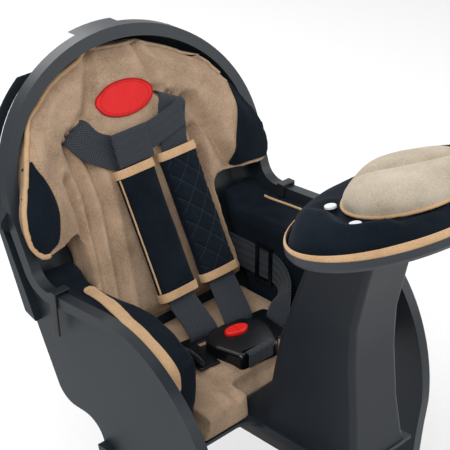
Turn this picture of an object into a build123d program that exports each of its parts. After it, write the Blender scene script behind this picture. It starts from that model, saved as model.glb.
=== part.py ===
"""A child bike seat that rides on a bar between the adult rider and the handlebar.

A moulded bucket with a reclined back and two leg guards, a post between the child's legs that
carries a padded bumper, a five point harness, foot cups that slide on the leg guards, and a
steel channel under the floor that straddles the bike's bar.

Millimetres. X points to the child's left, Y to the back of the bike and Z up. The origin is on
the underside of the steel channel's web, where the seat rests on the bar.
"""
import math
import os

from build123d import *

os.makedirs("parts", exist_ok=True)


# Driving dimensions: shell
wall = 4.0
recline = 22.0
floor_gap = 8.0
web = 3.0
back_foot_y = 94.8
floor_half = 162.0
shoulder_half = 172.0
shoulder_r = 120.0
shoulder_z = 222.0
shell_top_z = 355.0
rim_z = 158.0
rim_front_y = 20.0
guard_front_y = -138.0
guard_bend_z = -37.0
guard_half = 158.0
guard_straight_z = -72.0
guard_bottom_z = -277.0
guard_toe_y = -118.0
guard_heel_y = -12.0
floor_corner_r = 44.0
heel_corner_r = 28.0
heel_y = 46.0
flange_corner_r = 24.0
guard_root_r = 30.0
guard_corner_r = 26.0
well_corner_r = 22.0
flange_depth = 35.0
back_corner_r = 24.0
lip_out = 9.0
lip_band = 13.0
floor_front_y = -66.0
tongue_half = 48.0
tongue_front_y = -206.0
rail_inner = 30.0
rail_outer = 47.0
rail_front_y = -200.0
rail_back_y = 72.0
rib_x = 100.0
rib_w = 4.0
rib_deep = 10.0
rib_low_s = 80.0
rib_high_s = 250.0
ear_out = 18.0
ear_root = 6.0
ear_up = 16.0
ear_down = 30.0
ear_tip_up = -4.0
ear_tip_down = 11.0
ear_back_y = 173.0
ear_w = 17.0
guard_slot_z = -195.0
guard_slot_len = 115.0
well_top = 60.0
heel_lip_y = 28.0
heel_lip_drop = 24.0
heel_lip_rise = 45.0
big = 400.0

# Driving dimensions: steel channel and its bolts
bar_width = 40.0
channel_drop = 32.0
channel_front_y = -194.0
channel_back_y = 66.0
cross_bolt_r = 4.25
cross_bolt_z = -18.0
cross_bolt_front_y = -150.0
cross_bolt_back_y = 54.0
channel_bolt_x = 38.0
channel_bolt_ys = (-180.0, 54.0)
channel_tab_half = 12.0
m6_r = 3.0
m6_hole_r = 3.3
m6_head_r = 5.0
m6_head_h = 5.0
bolt_len = 13.0

# Driving dimensions: post and bumper
dash_tilt = 12.4
dash_y = -215.0
dash_z = 292.0
dash_long = 133.0
dash_short = 88.0
tray_height = 11.0
tray_wall = 3.0
tray_floor = 4.0
bumper_pad_height = 25.0
bumper_pad_r = 18.0
pillow_long = 72.0
pillow_short = 53.0
pillow_height = 18.0
pillow_forward = 10.0
pillow_r = 14.0
post_wall = 4.0
post_levels = (
    (15.0, -40.0, -204.0, 46.0, 42.0),
    (24.0, -47.0, -202.0, 44.0, 39.0),
    (68.0, -87.0, -196.0, 43.0, 35.0),
    (129.0, -98.0, -190.0, 43.0, 34.0),
    (173.0, -112.0, -190.0, 43.0, 34.0),
    (217.0, -127.0, -199.0, 43.0, 34.0),
    (300.0, -144.0, -217.0, 43.0, 34.0),
)
post_hole_half = 15.0
post_hole_len = 60.0
post_corner_r = 7.0
post_screw_x = 22.0
post_screw_ys = (-178.0, -75.0)
post_screw_len = 18.0
post_boss_r = 6.5
tray_screw_x = 16.0
tray_screw_y = 36.0
tray_screw_len = 14.0
m5_r = 2.5
m5_hole_r = 2.8
m5_head_r = 4.5
m5_head_h = 3.0

snap_r = 6.0
snap_h = 2.5
snap_places = ((-85.0, -19.0), (85.0, -19.0), (-60.0, 33.0), (60.0, 33.0))

# Driving dimensions: padding
pad_thickness = 25.0
seat_pad_height = 28.0
seat_pad_half = 113.7
bolster_inner = 114.0
bolster_below_rim = 11.0
bolster_top_z = 150.0
wing_depth = 53.0
wing_over = 12.0
wing_edge = 2.0
wing_round = 8.0
wing_inner = 34.0
wing_tip_s = 204.0
wing_low_s = 177.0
head_top_s = 400.0
head_crown_s = 331.0
head_side_s = 259.0
cushion_inset = 14.0
cushion_low_s = 49.0
cushion_waist = 104.0
cushion_waist_s = 175.0
cushion_flat = 82.0
cushion_rise = 5.0
notch_half = 47.0
notch_y = -39.5
seat_edge_r = 8.0
bolster_front = ((-50.0, 0.0), (-60.0, 60.0), (-66.0, 200.0))

# Driving dimensions: harness
webbing = 38.0
webbing_t = 2.0
slot_x = 71.0
slot_s = 285.0
slot_turn = 28.0
slot_long = 44.0
slot_short = 8.0
pad_w = 54.0
pad_len = 150.0
pad_t = 18.0
pad_right_x = -15.0
pad_left_x = 48.0
pad_s = 153.0
pad_n = 43.0
pad_stand = 5.7
strap_fall = 22.0
strap_off = 1.7
strap_over = 3.0
right_bend = (-36.0, 250.0, 33.5)
right_bend_turn = 50.0
left_bend = (54.0, 249.0, 33.5)
left_bend_turn = -11.5
belt_x = 109.5
belt_z = 84.0
belt_bend_y = 46.0
belt_tail = 12.0
adjuster_y = 64.0
adjuster_long = 26.0
adjuster_t = 2.0
adjuster_rim = 5.0
anchor_w = 14.0
anchor_t = 4.0
anchor_up = 24.0
anchor_half = 105.0
anchor_corner_r = 5.0
sleeve_w = 50.0
sleeve_h = 36.0
sleeve_t = 3.0
sleeve_x = -12.0
sleeve_s = 250.0
sleeve_n = 39.0
sleeve_corner_r = 4.0
yoke_w = 30.0
yoke_route = ((72.0, 264.0, 36.0), (20.0, 253.0, 37.0), (-32.0, 253.0, 37.5))

# Driving dimensions: buckle
buckle_x = 8.0
buckle_y = 2.0
buckle_turn = -8.0
buckle_half = 38.0
buckle_foot_half = 26.0
buckle_up = 30.0
buckle_down = 34.0
buckle_base_h = 8.0
buckle_cover_h = 10.0
buckle_floor = 3.7
buckle_slot_y = -28.0
crotch_foot = 12.0
crotch_bar = 44.0
buckle_shoulder = 20.0
buckle_side_top = 16.0
buckle_side_low = -2.0
buckle_corner_r = 7.0
buckle_edge_r = 4.0
button_long = 15.0
button_short = 8.0
button_y = 10.0
button_travel = 3.0
button_proud = 4.0
button_flange = 3.0
button_flange_t = 2.5
button_skin = 4.0
spring_r = 3.5
spring_wire_r = 0.5
spring_turns = 4.0
tongue_w = 26.0
tongue_t = 2.5
tongue_frame_w = 48.0
tongue_reach = 66.0
tongue_end_x = 6.0
tongue_corner_r = 6.0
arm_end_x = 2.0
strap_hole_x = 24.0
strap_hole_y = 37.0
strap_lift = 6.0
belt_lift = 4.0
slot_wide = 4.0
strap_arm_y = 43.0
belt_hole_x = 58.0

# Driving dimensions: foot cups
cup_floor = 4.0
cup_wall = 3.0
cup_len = 150.0
cup_inner_x = 72.0
cup_side = 34.0
cup_plate_w = 78.0
cup_plate_h = 95.0
cup_lift = 60.0
cup_y = -66.0
cup_z = -280.0
cup_corner_r = 24.0
latch_w = 13.4
latch_len = 40.0
latch_head_w = 26.0
latch_head_len = 50.0
latch_head_t = 4.0
latch_rise = 35.0
strap_y = -80.0
strap_w = 25.0
strap_t = 3.0
strap_low = 12.0
strap_high = 72.0
strap_slope = 20.0
strap_flat = 16.0
strap_shoulder = 12.0

# Driving dimensions: cushion clips
tab_y = 90.0
tab_w = 10.0
tab_t = 2.5
tab_top_z = 156.0
tab_inner_z = 143.0
tab_low_z = 106.0
tab_fit = 1.8

# Clearances
button_gap = 0.3
seat_gap = 0.3
slide_gap = 0.3
thread_gap = 0.05
webbing_room = 1.0

# How boxes and cylinders sit on their places
upward = (Align.CENTER, Align.CENTER, Align.MIN)
downward = (Align.CENTER, Align.CENTER, Align.MAX)
front_low = (Align.CENTER, Align.MIN, Align.MIN)

# Values that follow
floor_z = web + floor_gap
floor_top = floor_z + wall
tilt = math.radians(recline)
lean = math.tan(tilt)
back_outer_y = back_foot_y + wall / math.cos(tilt)
flange_y = back_foot_y - flange_depth / math.cos(tilt)
cushion_z = floor_top + seat_gap
seat_top = cushion_z + seat_pad_height
buckle_z = seat_top + seat_gap
cover_z = buckle_z + buckle_base_h
cover_top = cover_z + buckle_cover_h
guard_inner = guard_half - wall
ear_x = shoulder_half + ear_out
wing_half = shoulder_half + wing_over
cushion_half = shoulder_half - cushion_inset
under_wing = flange_depth + seat_gap
tongue_low = buckle_z + buckle_floor + seat_gap
tongue_top = tongue_low + tongue_t

back_plane = Plane(origin=(0, back_foot_y, 0), x_dir=(1, 0, 0), z_dir=(0, -math.cos(tilt), math.sin(tilt)))
dash_lean = math.radians(dash_tilt)
dash_plane = Plane(
    origin=(0, dash_y, dash_z), x_dir=(1, 0, 0), z_dir=(0, math.sin(dash_lean), math.cos(dash_lean))
)
dash_axis = Axis(dash_plane.origin, dash_plane.z_dir)
back_foot = Plane(origin=back_plane.origin, x_dir=(1, 0, 0), z_dir=back_plane.y_dir)
buckle_turned = math.radians(buckle_turn)
buckle_across = Vector(math.cos(buckle_turned), math.sin(buckle_turned), 0)
buckle_plane = Plane(origin=(buckle_x, buckle_y, 0), x_dir=buckle_across, z_dir=(0, 0, 1))

button_plane = Plane(
    origin=buckle_plane.from_local_coords(Vector(0, button_y, 0)), x_dir=buckle_plane.x_dir, z_dir=(0, 0, 1)
)


def wall_x(z):
    """How far out the bucket's side wall stands at a height."""
    return floor_half + (z - floor_z) * (shoulder_half - floor_half) / (shoulder_z - floor_z)


def on_back(x, up, out):
    """A point given across the back, up its slope and out from its face."""
    y = back_foot_y + up * math.sin(tilt) - out * math.cos(tilt)
    return Vector(x, y, up * math.cos(tilt) + out * math.sin(tilt))


def back_way(x, up, out):
    """A direction given across the back, up its slope and out from its face."""
    return on_back(x, up, out) - on_back(0, 0, 0)


def rim_corner():
    """Where the front edge of the back's side flange meets the rim of the bucket."""
    z = rim_z - 6.0
    return (flange_y + z * lean, z)


def bend_point(turn):
    """A point on the rounded front of the bucket's side, by the angle turned from its crest."""
    angle = math.radians(turn)
    reach = rim_front_y - guard_front_y
    drop = rim_z - guard_bend_z
    return (rim_front_y - reach * math.sin(angle), guard_bend_z + drop * math.cos(angle))


def side_profile():
    """Side view of the bucket, its back and a leg guard, on the plane X = 0."""
    top = shell_top_z + 20.0
    with BuildSketch(Plane.YZ) as view:
        with BuildLine():
            flange = Line((flange_y + top * lean, top), rim_corner())
            Line(flange @ 1, (rim_front_y, rim_z))
            crest = TangentArc((rim_front_y, rim_z), bend_point(30), tangent=(-1, 0))
            bend = TangentArc(crest @ 1, bend_point(60), tangent=crest % 1)
            TangentArc(bend @ 1, bend_point(90), tangent=bend % 1)
            toe = Line(bend_point(90), (guard_toe_y, guard_bottom_z))
            sole = Line(toe @ 1, (guard_heel_y, guard_bottom_z))
            heel = Line(sole @ 1, (heel_y, floor_z))
            under = Line(heel @ 1, (back_outer_y + floor_z * lean, floor_z))
            back = Line(under @ 1, (back_outer_y + top * lean, top))
            Line(back @ 1, flange @ 0)
        make_face()
        points = view.vertices()
        rim_point = points.filter_by_position(Axis.Y, rim_z - 10, rim_z).sort_by(Axis.X)[-1]
        fillet(rim_point, flange_corner_r)
        low = view.vertices().filter_by_position(Axis.Y, floor_z - 1, floor_z + 1).sort_by(Axis.X)
        fillet(low[-1], heel_corner_r)
        low = view.vertices().filter_by_position(Axis.Y, floor_z - 1, floor_z + 1).sort_by(Axis.X)
        fillet(low[0], guard_root_r)
        fillet(view.vertices().group_by(Axis.Y)[0], guard_corner_r)
    return view


def side_view(inset=0.0):
    """The side profile as a sketch, drawn in all round by an inset."""
    with BuildSketch(Plane.YZ) as view:
        add(side_profile().sketch_local)
        if inset > 0:
            offset(amount=-inset, mode=Mode.REPLACE)
    return view.sketch


def front_profile(grow=0.0, bottom=floor_z):
    """Front view of the bucket and the rounded top of its back, grown sideways and upwards."""
    with BuildSketch(Plane.XZ) as view:
        with BuildLine():
            low = Line((0, bottom), (floor_half + grow, bottom))
            side = Line(low @ 1, (shoulder_half + grow, shoulder_z))
            crown = EllipticalCenterArc(
                (0, shoulder_z),
                shoulder_half + grow,
                shell_top_z - shoulder_z + grow,
                start_angle=0,
                arc_size=90,
            )
            Line(crown @ 1, low @ 0)
        make_face()
        mirror(about=Plane.YZ)
        fillet(view.vertices().group_by(Axis.Y)[0], floor_corner_r + grow)
        shoulders = view.vertices().filter_by_position(Axis.Y, shoulder_z - 1, shoulder_z + 1)
        fillet(shoulders, shoulder_r + grow)
    return view.sketch


def wall_strip(outside, inside):
    """Front view of both side walls from the guard's foot to the shoulder, as strips."""
    line = (
        (guard_half, guard_bottom_z - 1),
        (guard_half, guard_straight_z),
        (floor_half, floor_z),
        (shoulder_half, shoulder_z),
    )
    outer = [(x + outside, z) for x, z in line]
    inner = [(x - inside, z) for x, z in reversed(line)]
    with BuildSketch(Plane.XZ) as view:
        with BuildLine():
            Polyline(*outer, *inner, close=True)
        make_face()
        mirror(about=Plane.YZ)
    return view.sketch


def crown_ring(outside, inside):
    """Front view of the rounded top of the back as a ring, above the shoulders."""
    with BuildSketch(Plane.XZ) as ring:
        with Locations((0, shoulder_z)):
            Ellipse(shoulder_half + outside, shell_top_z - shoulder_z + outside)
            Ellipse(shoulder_half - inside, shell_top_z - shoulder_z - inside, mode=Mode.SUBTRACT)
            Rectangle(big, big, align=(Align.CENTER, Align.MAX), mode=Mode.SUBTRACT)
    return ring.sketch


def edges_on(part, plane):
    """The edges of a part that lie in a plane."""
    return part.edges().filter_by(lambda edge: abs(plane.to_local_coords(edge @ 0.5).Z) < seat_gap / 2)


def cavity(clear=0.0):
    """The room inside the bucket: within its walls, above its floor and before its back."""
    low = floor_top + clear
    gap = clear / math.cos(tilt)
    with BuildPart() as room:
        with BuildSketch(Plane.YZ):
            with BuildLine():
                Polyline(
                    (-big, low),
                    (back_foot_y - gap + low * lean, low),
                    (back_foot_y - gap + big * lean, big),
                    (-big, big),
                    close=True,
                )
            make_face()
        extrude(amount=big, both=True)
        heel = room.edges().filter_by(Axis.X).group_by(Axis.Z)[0].sort_by(Axis.Y)[-1]
        fillet(heel, heel_corner_r - wall)
        extrude(front_profile(-wall - clear, low), amount=big, both=True, mode=Mode.INTERSECT)
        fillet(edges_on(room, back_plane.offset(clear)), back_corner_r - wall - clear)
    return room.part


def leg_wells():
    """The two open wells in front of the floor where the child's legs hang down."""
    top = floor_z + well_top
    with BuildPart() as wells:
        with BuildSketch(Plane.XY.offset(guard_straight_z)):
            with Locations((tongue_half, floor_front_y)):
                Rectangle(big, big, align=(Align.MIN, Align.MAX))
            mirror(about=Plane.YZ)
        extrude(amount=top - guard_straight_z)
        corners = wells.edges().filter_by(Axis.Z).group_by(Axis.Y)[-1]
        fillet(corners.group_by(Axis.X)[1] + corners.group_by(Axis.X)[2], well_corner_r)
        with BuildSketch(Plane.XZ):
            with BuildLine():
                Polyline(
                    (0, guard_straight_z),
                    (guard_inner, guard_straight_z),
                    (floor_half - wall, floor_z),
                    (wall_x(top) - wall, top),
                    (0, top),
                    close=True,
                )
            make_face()
            mirror(about=Plane.YZ)
        extrude(amount=big, both=True, mode=Mode.INTERSECT)
    return wells.part


def rolled_lip():
    """The lip rolled outwards along the rim, the flange and the guard edges."""
    with BuildPart() as lip:
        extrude(wall_strip(lip_out, 1), amount=big, both=True)
        extrude(crown_ring(lip_out, 1), amount=big, both=True)
        extrude(side_view(), amount=big, both=True, mode=Mode.INTERSECT)
        extrude(side_view(lip_band), amount=big, both=True, mode=Mode.SUBTRACT)
        with BuildSketch(Plane.YZ):
            with BuildLine():
                Polyline(
                    (heel_lip_y, floor_z - heel_lip_drop),
                    (heel_lip_y, heel_y + flange_corner_r),
                    (flange_y + heel_lip_drop + tab_top_z * lean, tab_top_z - heel_lip_rise),
                    (flange_y + heel_lip_drop + big * lean, big),
                    (big, big),
                    (big, floor_z - heel_lip_drop),
                    close=True,
                )
            make_face()
        extrude(amount=big, both=True, mode=Mode.SUBTRACT)
    return lip.part


def back_slots(long, short):
    """The two slanted slots the shoulder straps pass through, cut out along the back's normal."""
    with BuildPart() as slots:
        with BuildSketch(back_plane):
            for side in (-1, 1):
                with Locations(Location((side * slot_x, slot_s), -side * slot_turn)):
                    SlotOverall(long, short)
        extrude(amount=wing_depth, both=True)
    return slots.part


def belt_slots():
    """The upright slots low in the back that the waist belts pass through."""
    with BuildPart() as slots:
        for side in (-1, 1):
            with Locations((side * belt_x, back_foot_y + belt_z * lean, belt_z)):
                Box(webbing_t + 3, 40, webbing + 4)
    return slots.part


def crotch_slit(low, high, short):
    """The slit under the buckle that the crotch strap passes through."""
    with BuildPart() as slit:
        with BuildSketch(buckle_plane.offset(low)):
            with Locations((0, buckle_slot_y)):
                SlotOverall(webbing + 4, short)
        extrude(amount=high - low)
    return slit.part


def ear(side):
    """The small moulded ear on the side of the back, where the wall is widest."""
    with BuildPart() as lug:
        with BuildSketch(Plane.XZ.offset(-ear_back_y)):
            with BuildLine():
                Polyline(
                    (shoulder_half - ear_root, shoulder_z - ear_down),
                    (ear_x, shoulder_z - ear_tip_down),
                    (ear_x, shoulder_z + ear_tip_up),
                    (shoulder_half - ear_root / 3, shoulder_z + ear_up),
                    close=True,
                )
            make_face()
            if side < 0:
                mirror(about=Plane.YZ, mode=Mode.REPLACE)
        extrude(amount=ear_w)
    return lug.part


with BuildPart() as seat_shell:
    extrude(side_view(), amount=big, both=True)
    extrude(front_profile(), amount=big, both=True, mode=Mode.INTERSECT)
    fillet(edges_on(seat_shell, back_plane.offset(-wall)), back_corner_r)
    add(cavity(), mode=Mode.SUBTRACT)
    with BuildPart(mode=Mode.PRIVATE) as guards:
        extrude(wall_strip(0, wall), amount=big, both=True)
        extrude(side_view(), amount=big, both=True, mode=Mode.INTERSECT)
    add(guards.part)
    add(leg_wells(), mode=Mode.SUBTRACT)
    add(rolled_lip())
    with Locations((0, tongue_front_y, floor_z)):
        Box(2 * tongue_half, floor_front_y - tongue_front_y, wall, align=front_low)
    for side in (-1, 1):
        with Locations((side * (rail_inner + rail_outer) / 2, rail_front_y, web)):
            Box(rail_outer - rail_inner, rail_back_y - rail_front_y, floor_gap, align=front_low)
        add(ear(side))
        with BuildPart(mode=Mode.PRIVATE) as rib:
            with BuildSketch(back_plane.offset(-wall)):
                with Locations((side * rib_x, rib_low_s)):
                    Rectangle(rib_w, rib_high_s - rib_low_s, align=(Align.CENTER, Align.MIN))
            extrude(amount=-rib_deep)
        add(rib.part)
        with BuildSketch(Plane.YZ.offset(side * guard_half)):
            with Locations((cup_y, guard_slot_z)):
                SlotOverall(guard_slot_len, latch_w + 2 * slide_gap, rotation=90)
        extrude(amount=side * 2 * wall, both=True, mode=Mode.SUBTRACT)
        for y in channel_bolt_ys:
            with Locations((side * channel_bolt_x, y, web)):
                Cylinder(m6_r + thread_gap, bolt_len - web + 1, align=upward, mode=Mode.SUBTRACT)
        for y in post_screw_ys:
            with Locations((side * post_screw_x, y, floor_z)):
                Cylinder(m5_hole_r, wall, align=upward, mode=Mode.SUBTRACT)
    add(back_slots(slot_long, slot_short), mode=Mode.SUBTRACT)
    add(belt_slots(), mode=Mode.SUBTRACT)
    add(crotch_slit(floor_z - 1, floor_top + 1, 6), mode=Mode.SUBTRACT)
seat_shell.part.label = "seat_shell"
export_step(seat_shell.part, "parts/seat_shell.step")


def ribbon(stations, width=webbing, thick=webbing_t):
    """A strap through stations, each a point, the way across its width and the way along it."""
    with BuildPart() as strap:
        for point, over, along in stations:
            with BuildSketch(Plane(origin=point, x_dir=over, z_dir=along)):
                Rectangle(width, thick)
        loft(ruled=True)
    return strap.part


def channel_profile():
    """Front view of the steel channel."""
    half = bar_width / 2
    with BuildSketch(Plane.XZ) as view:
        with BuildLine():
            Polyline(
                (half, 0),
                (half, -channel_drop),
                (half + web, -channel_drop),
                (half + web, web),
                (0, web),
                (0, 0),
                close=True,
            )
        make_face()
        mirror(about=Plane.YZ)
    return view.sketch


with BuildPart() as mount_channel:
    extrude(channel_profile(), amount=big, both=True)
    with Locations((0, (channel_front_y + channel_back_y) / 2, 0)):
        Box(big, channel_back_y - channel_front_y, big, mode=Mode.INTERSECT)
    for bolt_y in channel_bolt_ys:
        with Locations((0, bolt_y, 0)):
            Box(2 * rail_outer, 2 * channel_tab_half, web, align=upward)
        with Locations((-channel_bolt_x, bolt_y, 0), (channel_bolt_x, bolt_y, 0)):
            Cylinder(m6_hole_r, 3 * web, mode=Mode.SUBTRACT)
    for bore_y in (cross_bolt_front_y, cross_bolt_back_y):
        with Locations(Location((0, bore_y, cross_bolt_z), (0, 90, 0))):
            Cylinder(cross_bolt_r, 4 * bar_width, mode=Mode.SUBTRACT)
mount_channel.part.label = "mount_channel"
export_step(mount_channel.part, "parts/mount_channel.step")


def channel_bolt(x, y):
    """A bolt from under the channel's tab up into the rail and the floor."""
    with BuildPart() as bolt:
        with Locations((x, y, 0)):
            Cylinder(m6_head_r, m6_head_h, align=downward)
            Cylinder(m6_r, bolt_len, align=upward)
        with Locations((x, y, -m6_head_h)):
            Cylinder(m6_r * 0.7, m6_r, align=upward, mode=Mode.SUBTRACT)
    return bolt.part


for end, bolt_y in zip(("front", "back"), channel_bolt_ys):
    for hand, side in (("right", -1), ("left", 1)):
        channel_screw = channel_bolt(side * channel_bolt_x, bolt_y)
        channel_screw.label = f"channel_bolt_{end}_{hand}"
        export_step(channel_screw, f"parts/channel_bolt_{end}_{hand}.step")


def post_body(inset):
    """The post as one solid, drawn in all round by an inset."""
    with BuildPart() as body:
        for z, back, front, back_half, front_half in post_levels:
            with BuildSketch(Plane.XY.offset(z)) as level:
                with BuildLine():
                    Polyline(
                        (-back_half + inset, back - inset),
                        (back_half - inset, back - inset),
                        (front_half - inset, front + inset),
                        (-front_half + inset, front + inset),
                        close=True,
                    )
                make_face()
                fillet(level.vertices(), post_corner_r - inset)
        loft(ruled=True)
        with BuildSketch(dash_plane.offset(-inset)):
            Rectangle(big, big)
        extrude(amount=big, mode=Mode.SUBTRACT)
    return body.part


with BuildPart() as pommel_post:
    add(post_body(0))
    with BuildPart(mode=Mode.PRIVATE) as hollow:
        add(post_body(post_wall))
        Box(2 * big, 2 * big, 2 * (floor_top + post_wall), mode=Mode.SUBTRACT)
    add(hollow.part, mode=Mode.SUBTRACT)
    with Locations((0, sum(post_screw_ys) / 2, floor_top)):
        Box(2 * post_hole_half, post_hole_len, 3 * post_wall, mode=Mode.SUBTRACT)
    with Locations(*[(side * post_screw_x, y, floor_top) for side in (-1, 1) for y in post_screw_ys]):
        Cylinder(post_boss_r, post_screw_len, align=upward)
        Cylinder(m5_r + thread_gap, post_screw_len - wall / 2, align=upward, mode=Mode.SUBTRACT)
    with BuildSketch(dash_plane.offset(-post_wall)):
        with Locations((-tray_screw_x, tray_screw_y), (tray_screw_x, tray_screw_y)):
            Circle(post_boss_r)
    extrude(amount=-tray_screw_len)
    with BuildSketch(dash_plane):
        with Locations((-tray_screw_x, tray_screw_y), (tray_screw_x, tray_screw_y)):
            Circle(m5_r + thread_gap)
    extrude(amount=-tray_screw_len, mode=Mode.SUBTRACT)
pommel_post.part.label = "pommel_post"
export_step(pommel_post.part, "parts/pommel_post.step")


def post_screw(x, y):
    """A screw from under the tongue up into the post."""
    with BuildPart() as screw:
        with Locations((x, y, floor_z)):
            Cylinder(m5_head_r, m5_head_h, align=downward)
            Cylinder(m5_r, post_screw_len, align=upward)
    return screw.part


for end, screw_y in zip(("front", "back"), post_screw_ys):
    for hand, side in (("right", -1), ("left", 1)):
        post_fixing = post_screw(side * post_screw_x, screw_y)
        post_fixing.label = f"post_screw_{end}_{hand}"
        export_step(post_fixing, f"parts/post_screw_{end}_{hand}.step")


with BuildPart() as bumper_tray:
    with BuildSketch(dash_plane):
        Ellipse(dash_long - tray_wall, dash_short - tray_wall)
    extrude(amount=tray_floor)
    with BuildSketch(dash_plane.offset(tray_floor)):
        Ellipse(dash_long, dash_short)
        Ellipse(dash_long - tray_wall, dash_short - tray_wall, mode=Mode.SUBTRACT)
    extrude(amount=tray_height - tray_floor)
    with BuildSketch(dash_plane):
        Ellipse(dash_long - tray_wall, dash_short - tray_wall)
    with BuildSketch(dash_plane.offset(tray_floor)):
        Ellipse(dash_long, dash_short)
    loft(ruled=True)
    for radius, low in ((m5_hole_r, 0), (m5_head_r + slide_gap, tray_floor - m5_head_h)):
        with BuildSketch(dash_plane.offset(low)):
            with Locations((-tray_screw_x, tray_screw_y), (tray_screw_x, tray_screw_y)):
                Circle(radius)
        extrude(amount=tray_height, mode=Mode.SUBTRACT)
bumper_tray.part.label = "bumper_tray"
export_step(bumper_tray.part, "parts/bumper_tray.step")


def tray_screw(x):
    """A screw from the tray's floor down into the post."""
    with BuildPart() as screw:
        with BuildSketch(dash_plane.offset(tray_floor - m5_head_h)):
            with Locations((x, tray_screw_y)):
                Circle(m5_head_r)
        extrude(amount=m5_head_h)
        with BuildSketch(dash_plane.offset(tray_floor - m5_head_h)):
            with Locations((x, tray_screw_y)):
                Circle(m5_r)
        extrude(amount=-tray_screw_len)
    return screw.part


for hand, side in (("right", -1), ("left", 1)):
    tray_fixing = tray_screw(side * tray_screw_x)
    tray_fixing.label = f"tray_screw_{hand}"
    export_step(tray_fixing, f"parts/tray_screw_{hand}.step")


def oval_cushion(long, short, forward, low, high, edge_r):
    """An oval cushion over the bumper's plane, rounded along its upper edge."""
    with BuildPart() as cushion:
        with BuildSketch(dash_plane.offset(low)):
            with Locations((0, -forward)):
                Ellipse(long, short)
        extrude(amount=high - low)
        upper = cushion.faces().sort_by(dash_axis)[-1]
        fillet(upper.edges(), edge_r)
    return cushion.part


pad_low = tray_floor + seat_gap
pad_high = pad_low + bumper_pad_height
bumper_pad = oval_cushion(
    dash_long - tray_wall - seat_gap, dash_short - tray_wall - seat_gap, 0, pad_low, pad_high, bumper_pad_r
)
bumper_pad.label = "bumper_pad"
export_step(bumper_pad, "parts/bumper_pad.step")

pillow_low = pad_high + seat_gap
pillow_high = pillow_low + pillow_height
nap_pillow = oval_cushion(pillow_long, pillow_short, pillow_forward, pillow_low, pillow_high, pillow_r)
nap_pillow.label = "nap_pillow"
export_step(nap_pillow, "parts/nap_pillow.step")


def pad_snap(x, y):
    """A round snap cap on top of the bumper pad."""
    with BuildPart() as cap:
        with BuildSketch(dash_plane.offset(pad_high + seat_gap)):
            with Locations((x, y)):
                Circle(snap_r)
        extrude(amount=snap_h)
        fillet(cap.faces().sort_by(dash_axis)[-1].edges(), snap_h / 2)
    return cap.part


for number, (snap_x, snap_y) in enumerate(snap_places, start=1):
    snap = pad_snap(snap_x, snap_y)
    snap.label = f"pad_snap_{number}"
    export_step(snap, f"parts/pad_snap_{number}.step")


with BuildPart() as seat_cushion:
    with Locations((0, floor_front_y, cushion_z)):
        Box(2 * seat_pad_half, big, seat_pad_height, align=front_low)
    fillet(seat_cushion.edges().filter_by(Axis.X).group_by(Axis.Z)[-1].sort_by(Axis.Y)[0], seat_edge_r)
    add(cavity(seat_gap), mode=Mode.INTERSECT)
    with Locations((0, notch_y, 0)):
        Box(2 * notch_half, big, big, align=(Align.CENTER, Align.MAX, Align.CENTER), mode=Mode.SUBTRACT)
    add(crotch_slit(cushion_z - 1, seat_top + 1, 5), mode=Mode.SUBTRACT)
seat_cushion.part.label = "seat_cushion"
export_step(seat_cushion.part, "parts/seat_cushion.step")


def back_outline():
    """The back cushion's outline over the back plane, with the head part's wings."""
    with BuildSketch(back_plane) as view:
        with BuildLine():
            head = Spline(
                (0, head_top_s),
                (2 * wing_half / 3, head_crown_s),
                (0.9 * wing_half, head_side_s),
                (wing_half, wing_tip_s),
                tangents=((1, 0), (0, -1)),
            )
            tip = TangentArc(head @ 1, (wing_half - cushion_inset, wing_low_s), tangent=head % 1)
            under = Line(tip @ 1, (cushion_waist + wing_round, wing_low_s))
            waist = Line(under @ 1, (cushion_waist, cushion_waist_s - wing_round))
            side = Line(waist @ 1, (cushion_waist, cushion_low_s))
            foot = Line(side @ 1, (0, cushion_low_s))
            Line(foot @ 1, head @ 0)
        make_face()
        mirror(about=Plane.YZ)
    return view.sketch


with BuildPart() as back_cushion:
    with BuildSketch(back_foot):
        with BuildLine():
            Polyline(
                (0, -seat_gap),
                (cushion_half, -seat_gap),
                (cushion_half + wall, -under_wing),
                (wing_half - wing_edge, -under_wing),
                (wing_half + wing_edge, -wing_depth + wing_round),
                (wing_half - wing_edge, -wing_depth),
                (wing_half - wing_inner, -wing_depth + cushion_rise),
                (cushion_waist + wing_round, -pad_thickness - cushion_rise),
                (cushion_flat, -pad_thickness),
                (0, -pad_thickness),
                close=True,
            )
        make_face()
        mirror(about=Plane.YZ)
    extrude(amount=head_top_s + wing_round)
    extrude(back_outline(), amount=2 * wing_depth, both=True, mode=Mode.INTERSECT)
    with BuildPart(mode=Mode.PRIVATE) as flange_room:
        with BuildSketch(back_plane.offset(-wing_depth)):
            Rectangle(2 * big, 3 * big)
        extrude(amount=wing_depth + flange_depth + seat_gap)
        add(cavity(seat_gap), mode=Mode.SUBTRACT)
    add(flange_room.part, mode=Mode.SUBTRACT)
    add(back_slots(slot_long + 4, slot_short + 2), mode=Mode.SUBTRACT)
back_cushion.part.label = "back_cushion"
export_step(back_cushion.part, "parts/back_cushion.step")


def hip_bolster(side):
    """The padded side of the seat space between the cushions and the wall."""
    outward = Align.MIN if side > 0 else Align.MAX
    with BuildPart() as bolster:
        extrude(side_view(bolster_below_rim), amount=big, both=True)
        add(cavity(seat_gap), mode=Mode.INTERSECT)
        with Locations((side * bolster_inner, 0, 0)):
            Box(big, big, 2 * bolster_top_z, align=(outward, Align.CENTER, Align.CENTER), mode=Mode.INTERSECT)
        with BuildSketch(Plane.YZ):
            with BuildLine():
                Polyline(*bolster_front, (-big, bolster_front[-1][1]), (-big, 0), close=True)
            make_face()
        extrude(amount=big, both=True, mode=Mode.SUBTRACT)
    return bolster.part


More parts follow.
